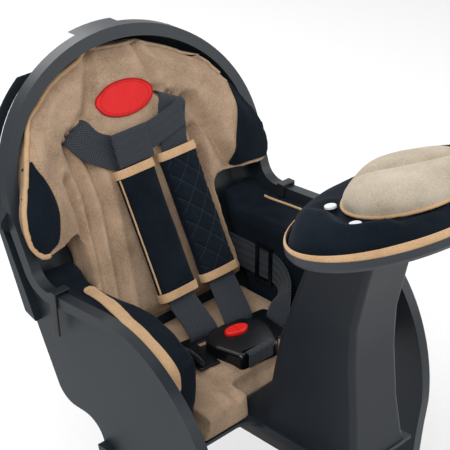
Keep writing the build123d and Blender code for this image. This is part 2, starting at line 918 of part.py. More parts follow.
for hand, side in (("right", -1), ("left", 1)):
    bolster = hip_bolster(side)
    bolster.label = f"hip_bolster_{hand}"
    export_step(bolster, f"parts/hip_bolster_{hand}.step")


def strap_turn(first, then):
    """The way along a strap where it turns from one way into the next."""
    return first.normalized() + then.normalized()


def pad_point(x, up, out=0.0):
    """A point on a shoulder pad's middle line, which stands off the back towards its lower end."""
    return on_back(x, pad_s + up, pad_n - up * math.tan(math.radians(pad_stand)) + out)


def shoulder_strap(side, pad_x, over_pad):
    """A strap from its anchor behind the back, through slot and pad, to the buckle's tongue."""
    slot_over = back_way(math.cos(math.radians(slot_turn)), -side * math.sin(math.radians(slot_turn)), 0)
    down = back_way(-side * math.sin(math.radians(slot_turn)), -math.cos(math.radians(slot_turn)), 0)
    out = back_way(0, 0, 1)
    flat = back_way(1, 0, 0)
    pad_down = pad_point(pad_x, -1) - pad_point(pad_x, 0)
    hole = buckle_plane.from_local_coords(Vector(side * strap_hole_x, strap_hole_y, tongue_top + strap_lift))
    final = hole - Vector(0, 0, tongue_t + strap_lift)
    toward = hole - pad_point(pad_x, -pad_len / 2)
    start = on_back(side * slot_x, slot_s, -wall - anchor_t - strap_off)
    through = pad_thickness + strap_over
    return ribbon(
        (
            (start - down * anchor_up, slot_over, down),
            (start, slot_over, strap_turn(down, out)),
            (on_back(side * slot_x, slot_s, through), slot_over, strap_turn(out, down)),
            (on_back(side * slot_x, slot_s, through) + down * strap_fall, slot_over, down),
            over_pad,
            (pad_point(pad_x, pad_len / 2 + 4), flat, pad_down),
            (pad_point(pad_x, -pad_len / 2 - 4), flat, strap_turn(pad_down, toward)),
            (hole, buckle_plane.x_dir, strap_turn(toward, final - hole)),
            (final, buckle_plane.x_dir, final - hole),
        )
    )


def strap_bend(place, turn):
    """A station where a shoulder strap bends towards its pad, by the turn of its width."""
    angle = math.radians(turn)
    over = back_way(math.cos(angle), math.sin(angle), 0)
    along = back_way(math.sin(angle), -math.cos(angle), 0)
    return (on_back(*place), over, along)


shoulder_strap_right = shoulder_strap(-1, pad_right_x, strap_bend(right_bend, right_bend_turn))
shoulder_strap_right.label = "shoulder_strap_right"
export_step(shoulder_strap_right, "parts/shoulder_strap_right.step")

shoulder_strap_left = shoulder_strap(1, pad_left_x, strap_bend(left_bend, left_bend_turn))
shoulder_strap_left.label = "shoulder_strap_left"
export_step(shoulder_strap_left, "parts/shoulder_strap_left.step")


def shoulder_pad(x):
    """A padded sleeve around a shoulder strap."""
    middle = Plane(
        origin=pad_point(x, 0), x_dir=(1, 0, 0), z_dir=pad_point(x, 1) - pad_point(x, 0)
    )
    with BuildPart() as pad:
        with BuildSketch(middle):
            RectangleRounded(pad_w, pad_t, pad_t / 2 - 1)
        extrude(amount=pad_len / 2, both=True)
        with BuildSketch(middle):
            Rectangle(webbing + webbing_room, webbing_t + webbing_room)
        extrude(amount=pad_len, both=True, mode=Mode.SUBTRACT)
    return pad.part


for hand, pad_x in (("right", pad_right_x), ("left", pad_left_x)):
    pad = shoulder_pad(pad_x)
    pad.label = f"shoulder_pad_{hand}"
    export_step(pad, f"parts/shoulder_pad_{hand}.step")


with BuildPart() as yoke_strap:
    yoke_along = on_back(*yoke_route[-1]) - on_back(*yoke_route[0])
    yoke_over = yoke_along.cross(back_plane.z_dir)
    for place in yoke_route:
        with BuildSketch(Plane(origin=on_back(*place), x_dir=yoke_over, z_dir=yoke_along)):
            Rectangle(yoke_w, webbing_t)
    loft(ruled=True)
yoke_strap.part.label = "yoke_strap"
export_step(yoke_strap.part, "parts/yoke_strap.step")

with BuildPart() as yoke_sleeve:
    with BuildSketch(back_plane.offset(sleeve_n)):
        with Locations((sleeve_x, sleeve_s)):
            RectangleRounded(sleeve_w, sleeve_h, sleeve_corner_r)
    extrude(amount=sleeve_t)
yoke_sleeve.part.label = "yoke_sleeve"
export_step(yoke_sleeve.part, "parts/yoke_sleeve.step")

with BuildPart() as harness_anchor:
    with BuildSketch(back_plane.offset(-wall - seat_gap)):
        with Locations((0, slot_s + anchor_up)):
            RectangleRounded(2 * anchor_half, anchor_w, anchor_corner_r)
    extrude(amount=-anchor_t)
harness_anchor.part.label = "harness_anchor"
export_step(harness_anchor.part, "parts/harness_anchor.step")


def waist_strap(side):
    """A belt from behind the back's lower corner, between cushion and bolster, to the tongue."""
    at = side * belt_x
    hole = buckle_plane.from_local_coords(Vector(side * belt_hole_x, button_y, tongue_top + belt_lift))
    final = hole - Vector(0, 0, tongue_t + belt_lift)
    back_end = back_outer_y + belt_z * lean + belt_tail
    turns = (
        (Vector(at, back_end, belt_z), 0, Vector(0, -1, 0)),
        (Vector(at, belt_bend_y, belt_z), 0, Vector(0, -1, 0)),
        (Vector(side * 101, belt_bend_y - 22, belt_z - 8), 30, Vector(-side * 0.6, -0.75, -0.4)),
        (hole + Vector(side * 16, 10, 12), 60, Vector(-side * 0.8, -0.4, -0.4)),
        (hole, 85, Vector(-side * 0.7, -0.1, -0.7)),
        (final, 90, Vector(0, 0, -1)),
    )
    stations = []
    for point, angle, along in turns:
        turn = math.radians(angle)
        over = buckle_plane.y_dir * (side * math.sin(turn)) - Vector(0, 0, side * math.cos(turn))
        stations.append((point, over, along))
    return ribbon(stations)


for hand, side in (("right", -1), ("left", 1)):
    belt = waist_strap(side)
    belt.label = f"waist_strap_{hand}"
    export_step(belt, f"parts/waist_strap_{hand}.step")


def belt_adjuster(side):
    """A ladder adjuster threaded on the waist belt: a frame with one bar behind the belt."""
    ladder = Plane(origin=(side * belt_x, adjuster_y, belt_z), x_dir=(0, 1, 0), z_dir=(-side, 0, 0))
    with BuildPart() as frame:
        with BuildSketch(ladder.offset(-webbing_t / 2 - seat_gap)):
            RectangleRounded(adjuster_long, webbing + 2 * adjuster_rim, adjuster_rim / 2)
        extrude(amount=-adjuster_t)
        with BuildSketch(ladder.offset(-webbing_t / 2 - seat_gap)):
            for end in (-1, 1):
                with Locations((0, end * (webbing + adjuster_rim + 2 * webbing_room) / 2)):
                    Rectangle(adjuster_long, adjuster_rim - 2 * webbing_room)
        extrude(amount=webbing_t + 3)
        with BuildSketch(ladder.offset(webbing_t / 2 + seat_gap)):
            post = (adjuster_long - adjuster_rim) / 2
            with Locations((-post, 0), (post, 0)):
                Rectangle(adjuster_rim, webbing + 2 * adjuster_rim)
        extrude(amount=adjuster_t)
    return frame.part


belt_adjuster_left = belt_adjuster(1)
belt_adjuster_left.label = "belt_adjuster_left"
export_step(belt_adjuster_left, "parts/belt_adjuster_left.step")

belt_adjuster_right = belt_adjuster(-1)
belt_adjuster_right.label = "belt_adjuster_right"
export_step(belt_adjuster_right, "parts/belt_adjuster_right.step")


with BuildPart() as crotch_strap:
    with BuildSketch(Plane(origin=buckle_plane.origin, x_dir=buckle_plane.y_dir, z_dir=buckle_plane.x_dir)):
        with BuildLine():
            inside = buckle_slot_y + 1
            outside = -buckle_down - seat_gap
            low = web + seat_gap
            peak = cover_top + seat_gap
            Polyline(
                (inside, low + webbing_t),
                (inside, peak + webbing_t),
                (outside - webbing_t, peak + webbing_t),
                (outside - webbing_t, buckle_z + webbing_t),
                (outside, buckle_z + webbing_t),
                (outside, peak),
                (inside - webbing_t, peak),
                (inside - webbing_t, low),
                (inside + crotch_foot, low),
                (inside + crotch_foot, low + webbing_t),
                close=True,
            )
        make_face()
    extrude(amount=webbing / 2, both=True)
crotch_strap.part.label = "crotch_strap"
export_step(crotch_strap.part, "parts/crotch_strap.step")

with BuildPart() as crotch_anchor:
    with BuildSketch(buckle_plane.offset(web + 2 * seat_gap + webbing_t)):
        with Locations((0, buckle_slot_y + 1 + seat_gap)):
            Rectangle(crotch_bar, crotch_foot, align=(Align.CENTER, Align.MIN))
    extrude(amount=floor_gap - 3 * seat_gap - webbing_t)
crotch_anchor.part.label = "crotch_anchor"
export_step(crotch_anchor.part, "parts/crotch_anchor.step")


def buckle_outline(inset=0.0):
    """The buckle's outline: widest at the tongues, narrow towards the crotch strap."""
    with BuildSketch() as view:
        with BuildLine():
            Polyline(
                (0, buckle_up - inset),
                (buckle_shoulder, buckle_up - inset),
                (buckle_half - inset, buckle_side_top),
                (buckle_half - inset, buckle_side_low),
                (buckle_foot_half - inset, -buckle_down + inset),
                (0, -buckle_down + inset),
                close=True,
            )
        make_face()
        mirror(about=Plane.YZ)
        fillet(view.vertices().filter_by_position(Axis.X, buckle_shoulder / 2, big), buckle_corner_r)
        fillet(view.vertices().filter_by_position(Axis.X, -big, -buckle_shoulder / 2), buckle_corner_r)
    return view.sketch


with BuildPart() as buckle_base:
    with BuildSketch(buckle_plane.offset(buckle_z)):
        add(buckle_outline())
    extrude(amount=buckle_base_h)
    with BuildSketch(buckle_plane.offset(buckle_z + buckle_floor)):
        with Locations((0, button_y)):
            Rectangle(2 * big, tongue_w + 2 * slide_gap)
    extrude(amount=buckle_base_h, mode=Mode.SUBTRACT)
    add(crotch_slit(buckle_z - 1, cover_z + 1, 4), mode=Mode.SUBTRACT)
buckle_base.part.label = "buckle_base"
export_step(buckle_base.part, "parts/buckle_base.step")

with BuildPart() as buckle_cover:
    with BuildSketch(buckle_plane.offset(cover_z)):
        add(buckle_outline())
    extrude(amount=buckle_cover_h)
    fillet(buckle_cover.edges().group_by(Axis.Z)[-1], buckle_edge_r)
    shaft = (button_gap, buckle_cover_h)
    seat = (button_flange + button_gap, buckle_cover_h - button_skin)
    for grow, high in (shaft, seat):
        with BuildSketch(buckle_plane.offset(cover_z)):
            with Locations((0, button_y)):
                Ellipse(button_long + grow, button_short + grow)
        extrude(amount=high, mode=Mode.SUBTRACT)
    add(crotch_slit(cover_z - 1, cover_top + 1, 4), mode=Mode.SUBTRACT)
buckle_cover.part.label = "buckle_cover"
export_step(buckle_cover.part, "parts/buckle_cover.step")

flange_top = cover_top - button_skin - button_gap
flange_low = flange_top - button_flange_t
with BuildPart() as release_button:
    with BuildSketch(buckle_plane.offset(flange_low)):
        with Locations((0, button_y)):
            Ellipse(button_long + button_flange, button_short + button_flange)
    extrude(amount=button_flange_t)
    with BuildSketch(buckle_plane.offset(flange_low)):
        with Locations((0, button_y)):
            Ellipse(button_long, button_short)
    extrude(amount=cover_top + button_proud - flange_low)
    fillet(release_button.edges().group_by(Axis.Z)[-1], 2)
    with BuildSketch(buckle_plane.offset(cover_top + button_proud - 1)):
        with Locations((0, button_y)):
            Rectangle(1.2, 4 * button_short)
    extrude(amount=2, mode=Mode.SUBTRACT)
release_button.part.label = "release_button"
export_step(release_button.part, "parts/release_button.step")

spring_low = buckle_z + buckle_floor
coil_height = flange_low - spring_low - 2 * seat_gap - 2 * spring_wire_r
with BuildPart() as button_spring:
    with BuildLine(button_plane.offset(spring_low + seat_gap + spring_wire_r)) as coil:
        Helix(coil_height / spring_turns, coil_height, spring_r - spring_wire_r)
    with BuildSketch(Plane(origin=coil.line @ 0, z_dir=coil.line % 0)):
        Circle(spring_wire_r)
    sweep(path=coil.line, is_frenet=True)
button_spring.part.label = "button_spring"
export_step(button_spring.part, "parts/button_spring.step")


def buckle_tongue(side):
    """A tongue held in the buckle, with a slot for the shoulder strap and one for the belt."""
    inner = buckle_half + 5 * slide_gap
    low = button_y - tongue_frame_w / 2
    with BuildPart() as tongue:
        with BuildSketch(buckle_plane.offset(tongue_low)) as plate:
            with BuildLine():
                Polyline(
                    (tongue_end_x, button_y - tongue_w / 2),
                    (inner, button_y - tongue_w / 2),
                    (inner, low),
                    (tongue_reach, low),
                    (tongue_reach, strap_arm_y),
                    (arm_end_x, strap_arm_y),
                    (arm_end_x, buckle_up + 2 * slide_gap),
                    (inner, buckle_up + 2 * slide_gap),
                    (inner, button_y + tongue_w / 2),
                    (tongue_end_x, button_y + tongue_w / 2),
                    close=True,
                )
            make_face()
            fillet(plate.vertices().filter_by_position(Axis.X, tongue_reach - 1, big), tongue_corner_r)
            with Locations((strap_hole_x, strap_hole_y)):
                Rectangle(webbing + webbing_room, slot_wide, mode=Mode.SUBTRACT)
            with Locations((belt_hole_x, button_y)):
                Rectangle(slot_wide, webbing + webbing_room, mode=Mode.SUBTRACT)
            if side < 0:
                mirror(about=Plane.YZ, mode=Mode.REPLACE)
        extrude(amount=tongue_t)
    return tongue.part


for hand, side in (("right", -1), ("left", 1)):
    tongue = buckle_tongue(side)
    tongue.label = f"buckle_tongue_{hand}"
    export_step(tongue, f"parts/buckle_tongue_{hand}.step")


def pad_tab(side):
    """The clip that hooks the cushion's edge over the rim of the bucket."""
    top_in = wall_x(tab_top_z) - wall - tab_fit
    low_in = wall_x(tab_inner_z) - wall - tab_fit
    top_out = wall_x(tab_top_z) + lip_out + seat_gap
    low_out = wall_x(tab_low_z) + lip_out + seat_gap
    with BuildPart() as tab:
        with BuildSketch(Plane.XZ.offset(-tab_y)):
            with BuildLine():
                Polyline(
                    (low_in, tab_inner_z),
                    (top_in, tab_top_z),
                    (top_out, tab_top_z),
                    (low_out, tab_low_z),
                    (low_out + tab_t, tab_low_z),
                    (top_out + tab_t, tab_top_z + tab_t),
                    (top_in - tab_t, tab_top_z + tab_t),
                    (low_in - tab_t, tab_inner_z),
                    close=True,
                )
            make_face()
            if side < 0:
                mirror(about=Plane.YZ, mode=Mode.REPLACE)
        extrude(amount=tab_w / 2, both=True)
    return tab.part


for hand, side in (("right", -1), ("left", 1)):
    tab = pad_tab(side)
    tab.label = f"pad_tab_{hand}"
    export_step(tab, f"parts/pad_tab_{hand}.step")


def foot_cup(side):
    """The open cup under the child's foot with the plate that slides on the leg guard."""
    outer = guard_inner - slide_gap
    width = outer - cup_inner_x
    with BuildPart() as cup:
        for inset, low, mode in ((0, 0, Mode.ADD), (cup_wall, cup_floor, Mode.SUBTRACT)):
            with BuildSketch(Plane.XY.offset(cup_z + low)) as level:
                with Locations((side * (outer + cup_inner_x) / 2, cup_y)):
                    Rectangle(width - 2 * inset, cup_len - 2 * inset)
                edge = side * (cup_inner_x + inset)
                fillet(level.vertices().filter_by_position(Axis.X, edge - 1, edge + 1), cup_corner_r - inset)
            extrude(amount=cup_floor + cup_side, mode=mode)
        with Locations((side * (outer - cup_wall / 2), cup_y, cup_z)):
            Box(cup_wall, cup_plate_w, cup_plate_h, align=(Align.CENTER, Align.CENTER, Align.MIN))
        with Locations(Location((side * outer, cup_y, cup_z + latch_rise + latch_len / 2), (0, 90, 0))):
            Cylinder(m5_hole_r, 4 * cup_wall, mode=Mode.SUBTRACT)
    return cup.part


def cup_latch(side):
    """The block that joins the cup through the guard's slot and clamps it from outside."""
    middle = cup_z + latch_rise + latch_len / 2
    neck = wall + 2 * slide_gap
    with BuildPart() as latch:
        with Locations((side * (guard_inner - slide_gap + neck / 2), cup_y, middle)):
            Box(neck, latch_w, latch_len)
        with Locations((side * (guard_half + slide_gap + latch_head_t / 2), cup_y, middle)):
            Box(latch_head_t, latch_head_w, latch_head_len)
        with Locations(Location((side * guard_half, cup_y, middle), (0, 90, 0))):
            Cylinder(m5_hole_r, 4 * wall, mode=Mode.SUBTRACT)
    return latch.part


def latch_screw(side):
    """The screw from outside through the latch into the cup's plate."""
    middle = cup_z + latch_rise + latch_len / 2
    face = guard_half + slide_gap + latch_head_t
    shank = face - (guard_inner - slide_gap - cup_wall)
    with BuildPart() as screw:
        with Locations(Location((side * face, cup_y, middle), (0, side * 90, 0))):
            Cylinder(m5_head_r, m5_head_h, align=(Align.CENTER, Align.CENTER, Align.MIN))
            Cylinder(m5_r, shank, align=(Align.CENTER, Align.CENTER, Align.MAX))
    return screw.part


def foot_strap(side):
    """The strap over the foot, from outside the cup's inner wall to inside its plate."""
    near = cup_inner_x - seat_gap
    far = guard_inner - slide_gap - cup_wall - seat_gap
    low = cup_z + strap_low
    high = cup_z + strap_high
    with BuildPart() as band:
        with BuildSketch(Plane.XZ.offset(-strap_y)):
            with BuildLine():
                Polyline(
                    (near - strap_t, low),
                    (near - strap_t, high - strap_slope),
                    (near + strap_flat, high),
                    (far - strap_shoulder, high),
                    (far, high - strap_shoulder),
                    (far, low),
                    (far - strap_t, low),
                    (far - strap_t, high - strap_shoulder - slide_gap),
                    (far - strap_shoulder - slide_gap, high - strap_t),
                    (near + strap_flat + slide_gap, high - strap_t),
                    (near, high - strap_slope - slide_gap),
                    (near, low),
                    close=True,
                )
            make_face()
            if side < 0:
                mirror(about=Plane.YZ, mode=Mode.REPLACE)
        extrude(amount=strap_w / 2, both=True)
    return band.part


for hand, side in (("right", -1), ("left", 1)):
    for build in (foot_cup, cup_latch, latch_screw, foot_strap):
        node = build(side)
        node.label = f"{build.__name__}_{hand}"
        export_step(node, f"parts/{build.__name__}_{hand}.step")
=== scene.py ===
"""The looks of a child bike seat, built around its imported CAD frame."""
import math

import bmesh
import bpy
from mathutils import Matrix, Vector, noise
from mathutils.bvhtree import BVHTree


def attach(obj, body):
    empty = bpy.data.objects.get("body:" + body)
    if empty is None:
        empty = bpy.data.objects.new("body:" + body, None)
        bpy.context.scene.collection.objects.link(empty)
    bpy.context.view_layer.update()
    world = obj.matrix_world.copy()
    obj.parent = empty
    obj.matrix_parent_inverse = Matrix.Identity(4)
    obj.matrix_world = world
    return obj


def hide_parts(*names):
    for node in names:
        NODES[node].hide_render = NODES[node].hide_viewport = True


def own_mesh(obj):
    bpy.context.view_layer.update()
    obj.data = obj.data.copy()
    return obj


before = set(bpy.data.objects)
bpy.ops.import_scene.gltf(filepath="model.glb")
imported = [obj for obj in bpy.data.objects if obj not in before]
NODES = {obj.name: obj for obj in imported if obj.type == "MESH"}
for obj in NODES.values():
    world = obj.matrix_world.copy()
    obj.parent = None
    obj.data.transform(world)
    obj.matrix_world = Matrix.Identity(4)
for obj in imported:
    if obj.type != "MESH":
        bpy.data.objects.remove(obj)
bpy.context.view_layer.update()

MM = 0.001
RECLINE = math.radians(22)
BACK_FOOT_Y = 94.8
DASH_TILT = math.radians(12.4)
DASH_AT = Vector((0, -215, 292)) * MM
BUCKLE_AT = Vector((8, 2, 0)) * MM
BUCKLE_TURN = math.radians(-8)
ACROSS = Vector((1, 0, 0))
UP = Vector((0, 0, 1))
SIDES = (("right", -1), ("left", 1))

# Places on the seat, given in millimetres and returned in metres


def on_back(x, up, out):
    """A point across the back, up its slope and out from its face."""
    y = BACK_FOOT_Y + up * math.sin(RECLINE) - out * math.cos(RECLINE)
    return Vector((x, y, up * math.cos(RECLINE) + out * math.sin(RECLINE))) * MM


def back_coords(point):
    """The across, up and out of a point, in millimetres."""
    y = point.y / MM - BACK_FOOT_Y
    z = point.z / MM
    up = y * math.sin(RECLINE) + z * math.cos(RECLINE)
    out = -y * math.cos(RECLINE) + z * math.sin(RECLINE)
    return point.x / MM, up, out


DASH_UP = Vector((0, math.sin(DASH_TILT), math.cos(DASH_TILT)))
DASH_BACK = DASH_UP.cross(ACROSS)
BACK_OUT = (on_back(0, 0, 1) - on_back(0, 0, 0)).normalized()


def on_dash(x, y, up):
    """A point on the bumper: across, towards the child and up from its tray."""
    return DASH_AT + (ACROSS * x + DASH_BACK * y + DASH_UP * up) * MM


def on_buckle(x, y, z):
    """A point on the buckle, turned as it lies on the cushion."""
    turned = Matrix.Rotation(BUCKLE_TURN, 3, "Z") @ Vector((x, y, 0))
    return BUCKLE_AT + Vector((turned.x, turned.y, z)) * MM


def turns_of(count, more=0):
    """Even turns round a circle, and some more past a full one."""
    return [2 * math.pi * k / count for k in range(count + more)]


# Modelling helpers

MERGE_WITHIN = 2e-5
FLAT_WITHIN = math.radians(0.6)


def pick(obj):
    """Makes one object the only one selected and the active one."""
    bpy.ops.object.select_all(action="DESELECT")
    obj.select_set(True)
    bpy.context.view_layer.objects.active = obj


def new_piece(name, data):
    """A new object in the scene from a mesh, a curve, a lamp or a camera."""
    obj = bpy.data.objects.new(name, data)
    bpy.context.scene.collection.objects.link(obj)
    return obj


def faced_piece(name, verts, faces):
    """A new piece from its points and faces."""
    mesh = bpy.data.meshes.new(name)
    mesh.from_pydata(verts, [], faces)
    return new_piece(name, mesh)


def bake_modifiers(obj):
    """Works a piece's modifiers into its mesh, in their order."""
    pick(obj)
    for modifier in list(obj.modifiers):
        bpy.ops.object.modifier_apply(modifier=modifier.name)


def copy_of(node, name):
    """A copy of a CAD node's mesh, its doubles merged and its flat faces joined."""
    mesh = NODES[node].data.copy()
    mesh.materials.clear()
    obj = new_piece(name, mesh)
    shape = bmesh.new()
    shape.from_mesh(mesh)
    bmesh.ops.remove_doubles(shape, verts=shape.verts, dist=MERGE_WITHIN)
    bmesh.ops.dissolve_limit(shape, angle_limit=FLAT_WITHIN, verts=shape.verts, edges=shape.edges)
    shape.to_mesh(mesh)
    shape.free()
    for layer in list(mesh.uv_layers):
        mesh.uv_layers.remove(layer)
    return obj


def smooth(obj, angle):
    """Smooth shading, but for edges that turn more than an angle in degrees."""
    pick(obj)
    bpy.ops.object.shade_smooth_by_angle(angle=math.radians(angle))


def smooth_all(obj):
    """Smooth shading over every edge."""
    pick(obj)
    bpy.ops.object.shade_smooth()


def round_edges(obj, name, width, segments, angle):
    """A bevel on the edges that turn more than an angle in degrees."""
    bevel = obj.modifiers.new(name, "BEVEL")
    bevel.width = width * MM
    bevel.segments = segments
    bevel.limit_method = "ANGLE"
    bevel.angle_limit = math.radians(angle)
    return bevel


def thicken(obj, thick, offset, hem, angle):
    """Makes a sheet thick, outwards (offset 1) or to both sides (0), with a soft hem."""
    sheet = obj.modifiers.new("thickness", "SOLIDIFY")
    sheet.thickness = thick * MM
    sheet.offset = offset
    round_edges(obj, "hem", hem, 2, 50)
    bake_modifiers(obj)
    smooth(obj, angle)


# Material helpers


class Recipe:
    """One material's node tree, filled from its Principled shader outwards."""

    def __init__(
        self, name, color, rough, metal=0.0, sheen=0.0, sheen_tint=(1, 1, 1), gloss=0.5
    ):
        self.material = bpy.data.materials.new(name)
        self.material.use_nodes = True
        self.tree = self.material.node_tree
        self.surface = self.tree.nodes["Principled BSDF"].inputs
        for label, value in (
            ("Base Color", (*color, 1)),
            ("Roughness", rough),
            ("Metallic", metal),
            ("Sheen Weight", sheen),
            ("Sheen Roughness", 0.45),
            ("Sheen Tint", (*sheen_tint, 1)),
            ("Specular IOR Level", gloss),
        ):
            self.surface[label].default_value = value
        self.coords = self.tree.nodes.new("ShaderNodeTexCoord")

    def node(self, kind, **values):
        """A node with some of its sockets or settings filled in."""
        node = self.tree.nodes.new(kind)
        for key, value in values.items():
            if key in node.inputs:
                node.inputs[key].default_value = value
            else:
                setattr(node, key, value)
        return node

    def link(self, out, into):
        """A wire from one socket to another."""
        self.tree.links.new(out, into)

    def group(self, group, **values):
        """A shared group laid out by the piece's own place."""
        node = self.tree.nodes.new("ShaderNodeGroup")
        node.node_tree = group
        for key, value in values.items():
            node.inputs[key.replace("_", " ")].default_value = value
        self.link(self.coords.outputs["Object"], node.inputs["Vector"])
        return node

    def mix(self, factor, low, high):
        """A colour mixed by a mask between two colours, which may be sockets."""
        node = self.node("ShaderNodeMix", data_type="RGBA")
        self.link(factor, node.inputs["Factor"])
        sockets = [s for s in node.inputs if s.type == "RGBA"]
        for socket, value in zip(sockets, (low, high)):
            if isinstance(value, tuple):
                socket.default_value = (*value, 1)
            else:
                self.link(value, socket)
        return next(s for s in node.outputs if s.type == "RGBA")

    def spread(self, factor, low, high):
        """A mask from 0 to 1 brought to run from a low to a high value."""
        node = self.node("ShaderNodeMapRange", **{"To Min": low, "To Max": high})
        self.link(factor, node.inputs["Value"])
        return node.outputs["Result"]

    def bump(self, height, strength, distance, under=None):
        """The normal of a fine relief, on top of another one where one is given."""
        node = self.node("ShaderNodeBump", Strength=strength, Distance=distance)
        self.link(height, node.inputs["Height"])
        if under is not None:
            self.link(under, node.inputs["Normal"])
        return node.outputs["Normal"]


def start_group(name, inputs, outputs):
    """A shared shader group with named inputs and outputs."""
    tree = bpy.data.node_groups.new(name, "ShaderNodeTree")
    tree.interface.new_socket("Vector", in_out="INPUT", socket_type="NodeSocketVector")
    for label, value in inputs:
        socket = tree.interface.new_socket(label, in_out="INPUT", socket_type="NodeSocketFloat")
        socket.default_value = value
    for label in outputs:
        tree.interface.new_socket(label, in_out="OUTPUT", socket_type="NodeSocketFloat")
    return tree, tree.nodes.new("NodeGroupInput"), tree.nodes.new("NodeGroupOutput")


def noise_in(tree, vector, scale, detail, rough=0.5):
    """A noise node's value inside a group."""
    node = tree.nodes.new("ShaderNodeTexNoise")
    node.inputs["Detail"].default_value = detail
    node.inputs["Roughness"].default_value = rough
    tree.links.new(vector, node.inputs["Vector"])
    if isinstance(scale, (int, float)):
        node.inputs["Scale"].default_value = scale
    else:
        tree.links.new(scale, node.inputs["Scale"])
    return node.outputs["Fac"]


def math_in(tree, operation, *values):
    """A sum's result inside a node tree, from sockets or numbers."""
    node = tree.nodes.new("ShaderNodeMath")
    node.operation = operation
    for socket, value in zip(node.inputs, values):
        if isinstance(value, (int, float)):
            socket.default_value = value
        else:
            tree.links.new(value, socket)
    return node.outputs[0]


def nap_group():
    """Brushed cloth: broad patches where the nap lies either way, and fine fibres."""
    scales = (("Patch Scale", 22.0), ("Fibre Scale", 700.0))
    tree, start, end = start_group("brushed nap", scales, ("Patches", "Fibres"))
    place = start.outputs["Vector"]
    broad = noise_in(tree, place, start.outputs["Patch Scale"], 4.0, 0.6)
    fine = noise_in(tree, place, start.outputs["Fibre Scale"], 2.0)
    tree.links.new(broad, end.inputs["Patches"])
    tree.links.new(fine, end.inputs["Fibres"])
    return tree


def moulded_group():
    """Moulded plastic: a fine spark grain and slow changes of gloss."""
    tree, start, end = start_group("moulded grain", (("Grain Scale", 1500.0),), ("Grain", "Gloss"))
    grain = tree.nodes.new("ShaderNodeTexVoronoi")
    tree.links.new(start.outputs["Vector"], grain.inputs["Vector"])
    tree.links.new(start.outputs["Grain Scale"], grain.inputs["Scale"])
    tree.links.new(grain.outputs["Distance"], end.inputs["Grain"])
    tree.links.new(noise_in(tree, start.outputs["Vector"], 14.0, 3.0), end.inputs["Gloss"])
    return tree


def herringbone_group():
    """Webbing: ribs that turn over in a zigzag, from a strap's own map in millimetres."""
    sizes = (("Pitch", 2.6), ("Stripe", 4.75))
    tree, start, end = start_group("herringbone", sizes, ("Height", "Fleck"))
    split = tree.nodes.new("ShaderNodeSeparateXYZ")
    tree.links.new(start.outputs["Vector"], split.inputs[0])
    fold = math_in(tree, "PINGPONG", split.outputs["Y"], start.outputs["Stripe"])
    along = math_in(tree, "ADD", split.outputs["X"], fold)
    turns = math_in(tree, "DIVIDE", along, start.outputs["Pitch"])
    wave = math_in(tree, "SINE", math_in(tree, "MULTIPLY", turns, 2 * math.pi))
    height = math_in(tree, "MULTIPLY_ADD", wave, 0.5, 0.5)
    fleck = noise_in(tree, start.outputs["Vector"], 1.7, 2.0)
    tree.links.new(height, end.inputs["Height"])
    tree.links.new(fleck, end.inputs["Fleck"])
    return tree


NAP = nap_group()
MOULDED = moulded_group()
HERRINGBONE = herringbone_group()

FIBRE_SHARE = 0.7
MASK_SPREAD = (-0.77, 0.88)
FIBRE_DEEP = 0.0006
PATCH_DEEP = 0.004
GRAIN_DEEP = 0.0002


def brushed_cloth(name, dark, light, sheen, sheen_tint, bump=0.35):
    """Brushed microfibre, mottled between two colours."""
    recipe = Recipe(name, light, 0.9, sheen=sheen, sheen_tint=sheen_tint, gloss=0.1)
    nap = recipe.group(NAP)
    flecked = recipe.node("ShaderNodeMath", operation="MULTIPLY_ADD")
    recipe.link(nap.outputs["Fibres"], flecked.inputs[0])
    flecked.inputs[1].default_value = FIBRE_SHARE
    recipe.link(nap.outputs["Patches"], flecked.inputs[2])
    mask = recipe.spread(flecked.outputs[0], *MASK_SPREAD)
    recipe.link(recipe.mix(mask, dark, light), recipe.surface["Base Color"])
    normal = recipe.bump(nap.outputs["Fibres"], bump, FIBRE_DEEP)
    normal = recipe.bump(nap.outputs["Patches"], 0.15, PATCH_DEEP, normal)
    recipe.link(normal, recipe.surface["Normal"])
    return recipe.material


def grained(recipe, skin, rough, finer, coarser, grain):
    """Gives a recipe its changes of gloss and its fine grain."""
    gloss = recipe.spread(skin.outputs["Gloss"], rough - finer, rough + coarser)
    recipe.link(gloss, recipe.surface["Roughness"])
    relief = recipe.bump(skin.outputs["Grain"], grain, GRAIN_DEEP)
    recipe.link(relief, recipe.surface["Normal"])
    return recipe.material


def moulded_plastic(name, color, rough, grain=0.25, lift=1.5, gloss=0.3):
    """Moulded plastic with spark grain, a little lighter where it is worn."""
    recipe = Recipe(name, color, rough, gloss=gloss)
    skin = recipe.group(MOULDED)
    worn = tuple(c * lift for c in color)
    tone = recipe.mix(skin.outputs["Gloss"], color, worn)
    recipe.link(tone, recipe.surface["Base Color"])
    return grained(recipe, skin, rough, 0.07, 0.09, grain)


def metal(name, color, rough):
    """Plated or coated steel with fine rolling marks."""
    recipe = Recipe(name, color, rough, metal=1.0)
    skin = recipe.group(MOULDED, Grain_Scale=700.0)
    return grained(recipe, skin, rough, 0.08, 0.12, 0.1)


def woven_webbing(name, dark, light):
    """Herringbone webbing that reads the strap's own map."""
    recipe = Recipe(name, dark, 0.7, sheen=0.1, gloss=0.2)
    weave = recipe.node("ShaderNodeGroup")
    weave.node_tree = HERRINGBONE
    recipe.link(recipe.coords.outputs["UV"], weave.inputs["Vector"])
    mask = recipe.node("ShaderNodeMath", operation="MULTIPLY")
    recipe.link(weave.outputs["Height"], mask.inputs[0])
    recipe.link(weave.outputs["Fleck"], mask.inputs[1])
    recipe.link(recipe.mix(mask.outputs[0], dark, light), recipe.surface["Base Color"])
    relief = recipe.bump(weave.outputs["Height"], 0.6, FIBRE_DEEP)
    recipe.link(relief, recipe.surface["Normal"])
    return recipe.material


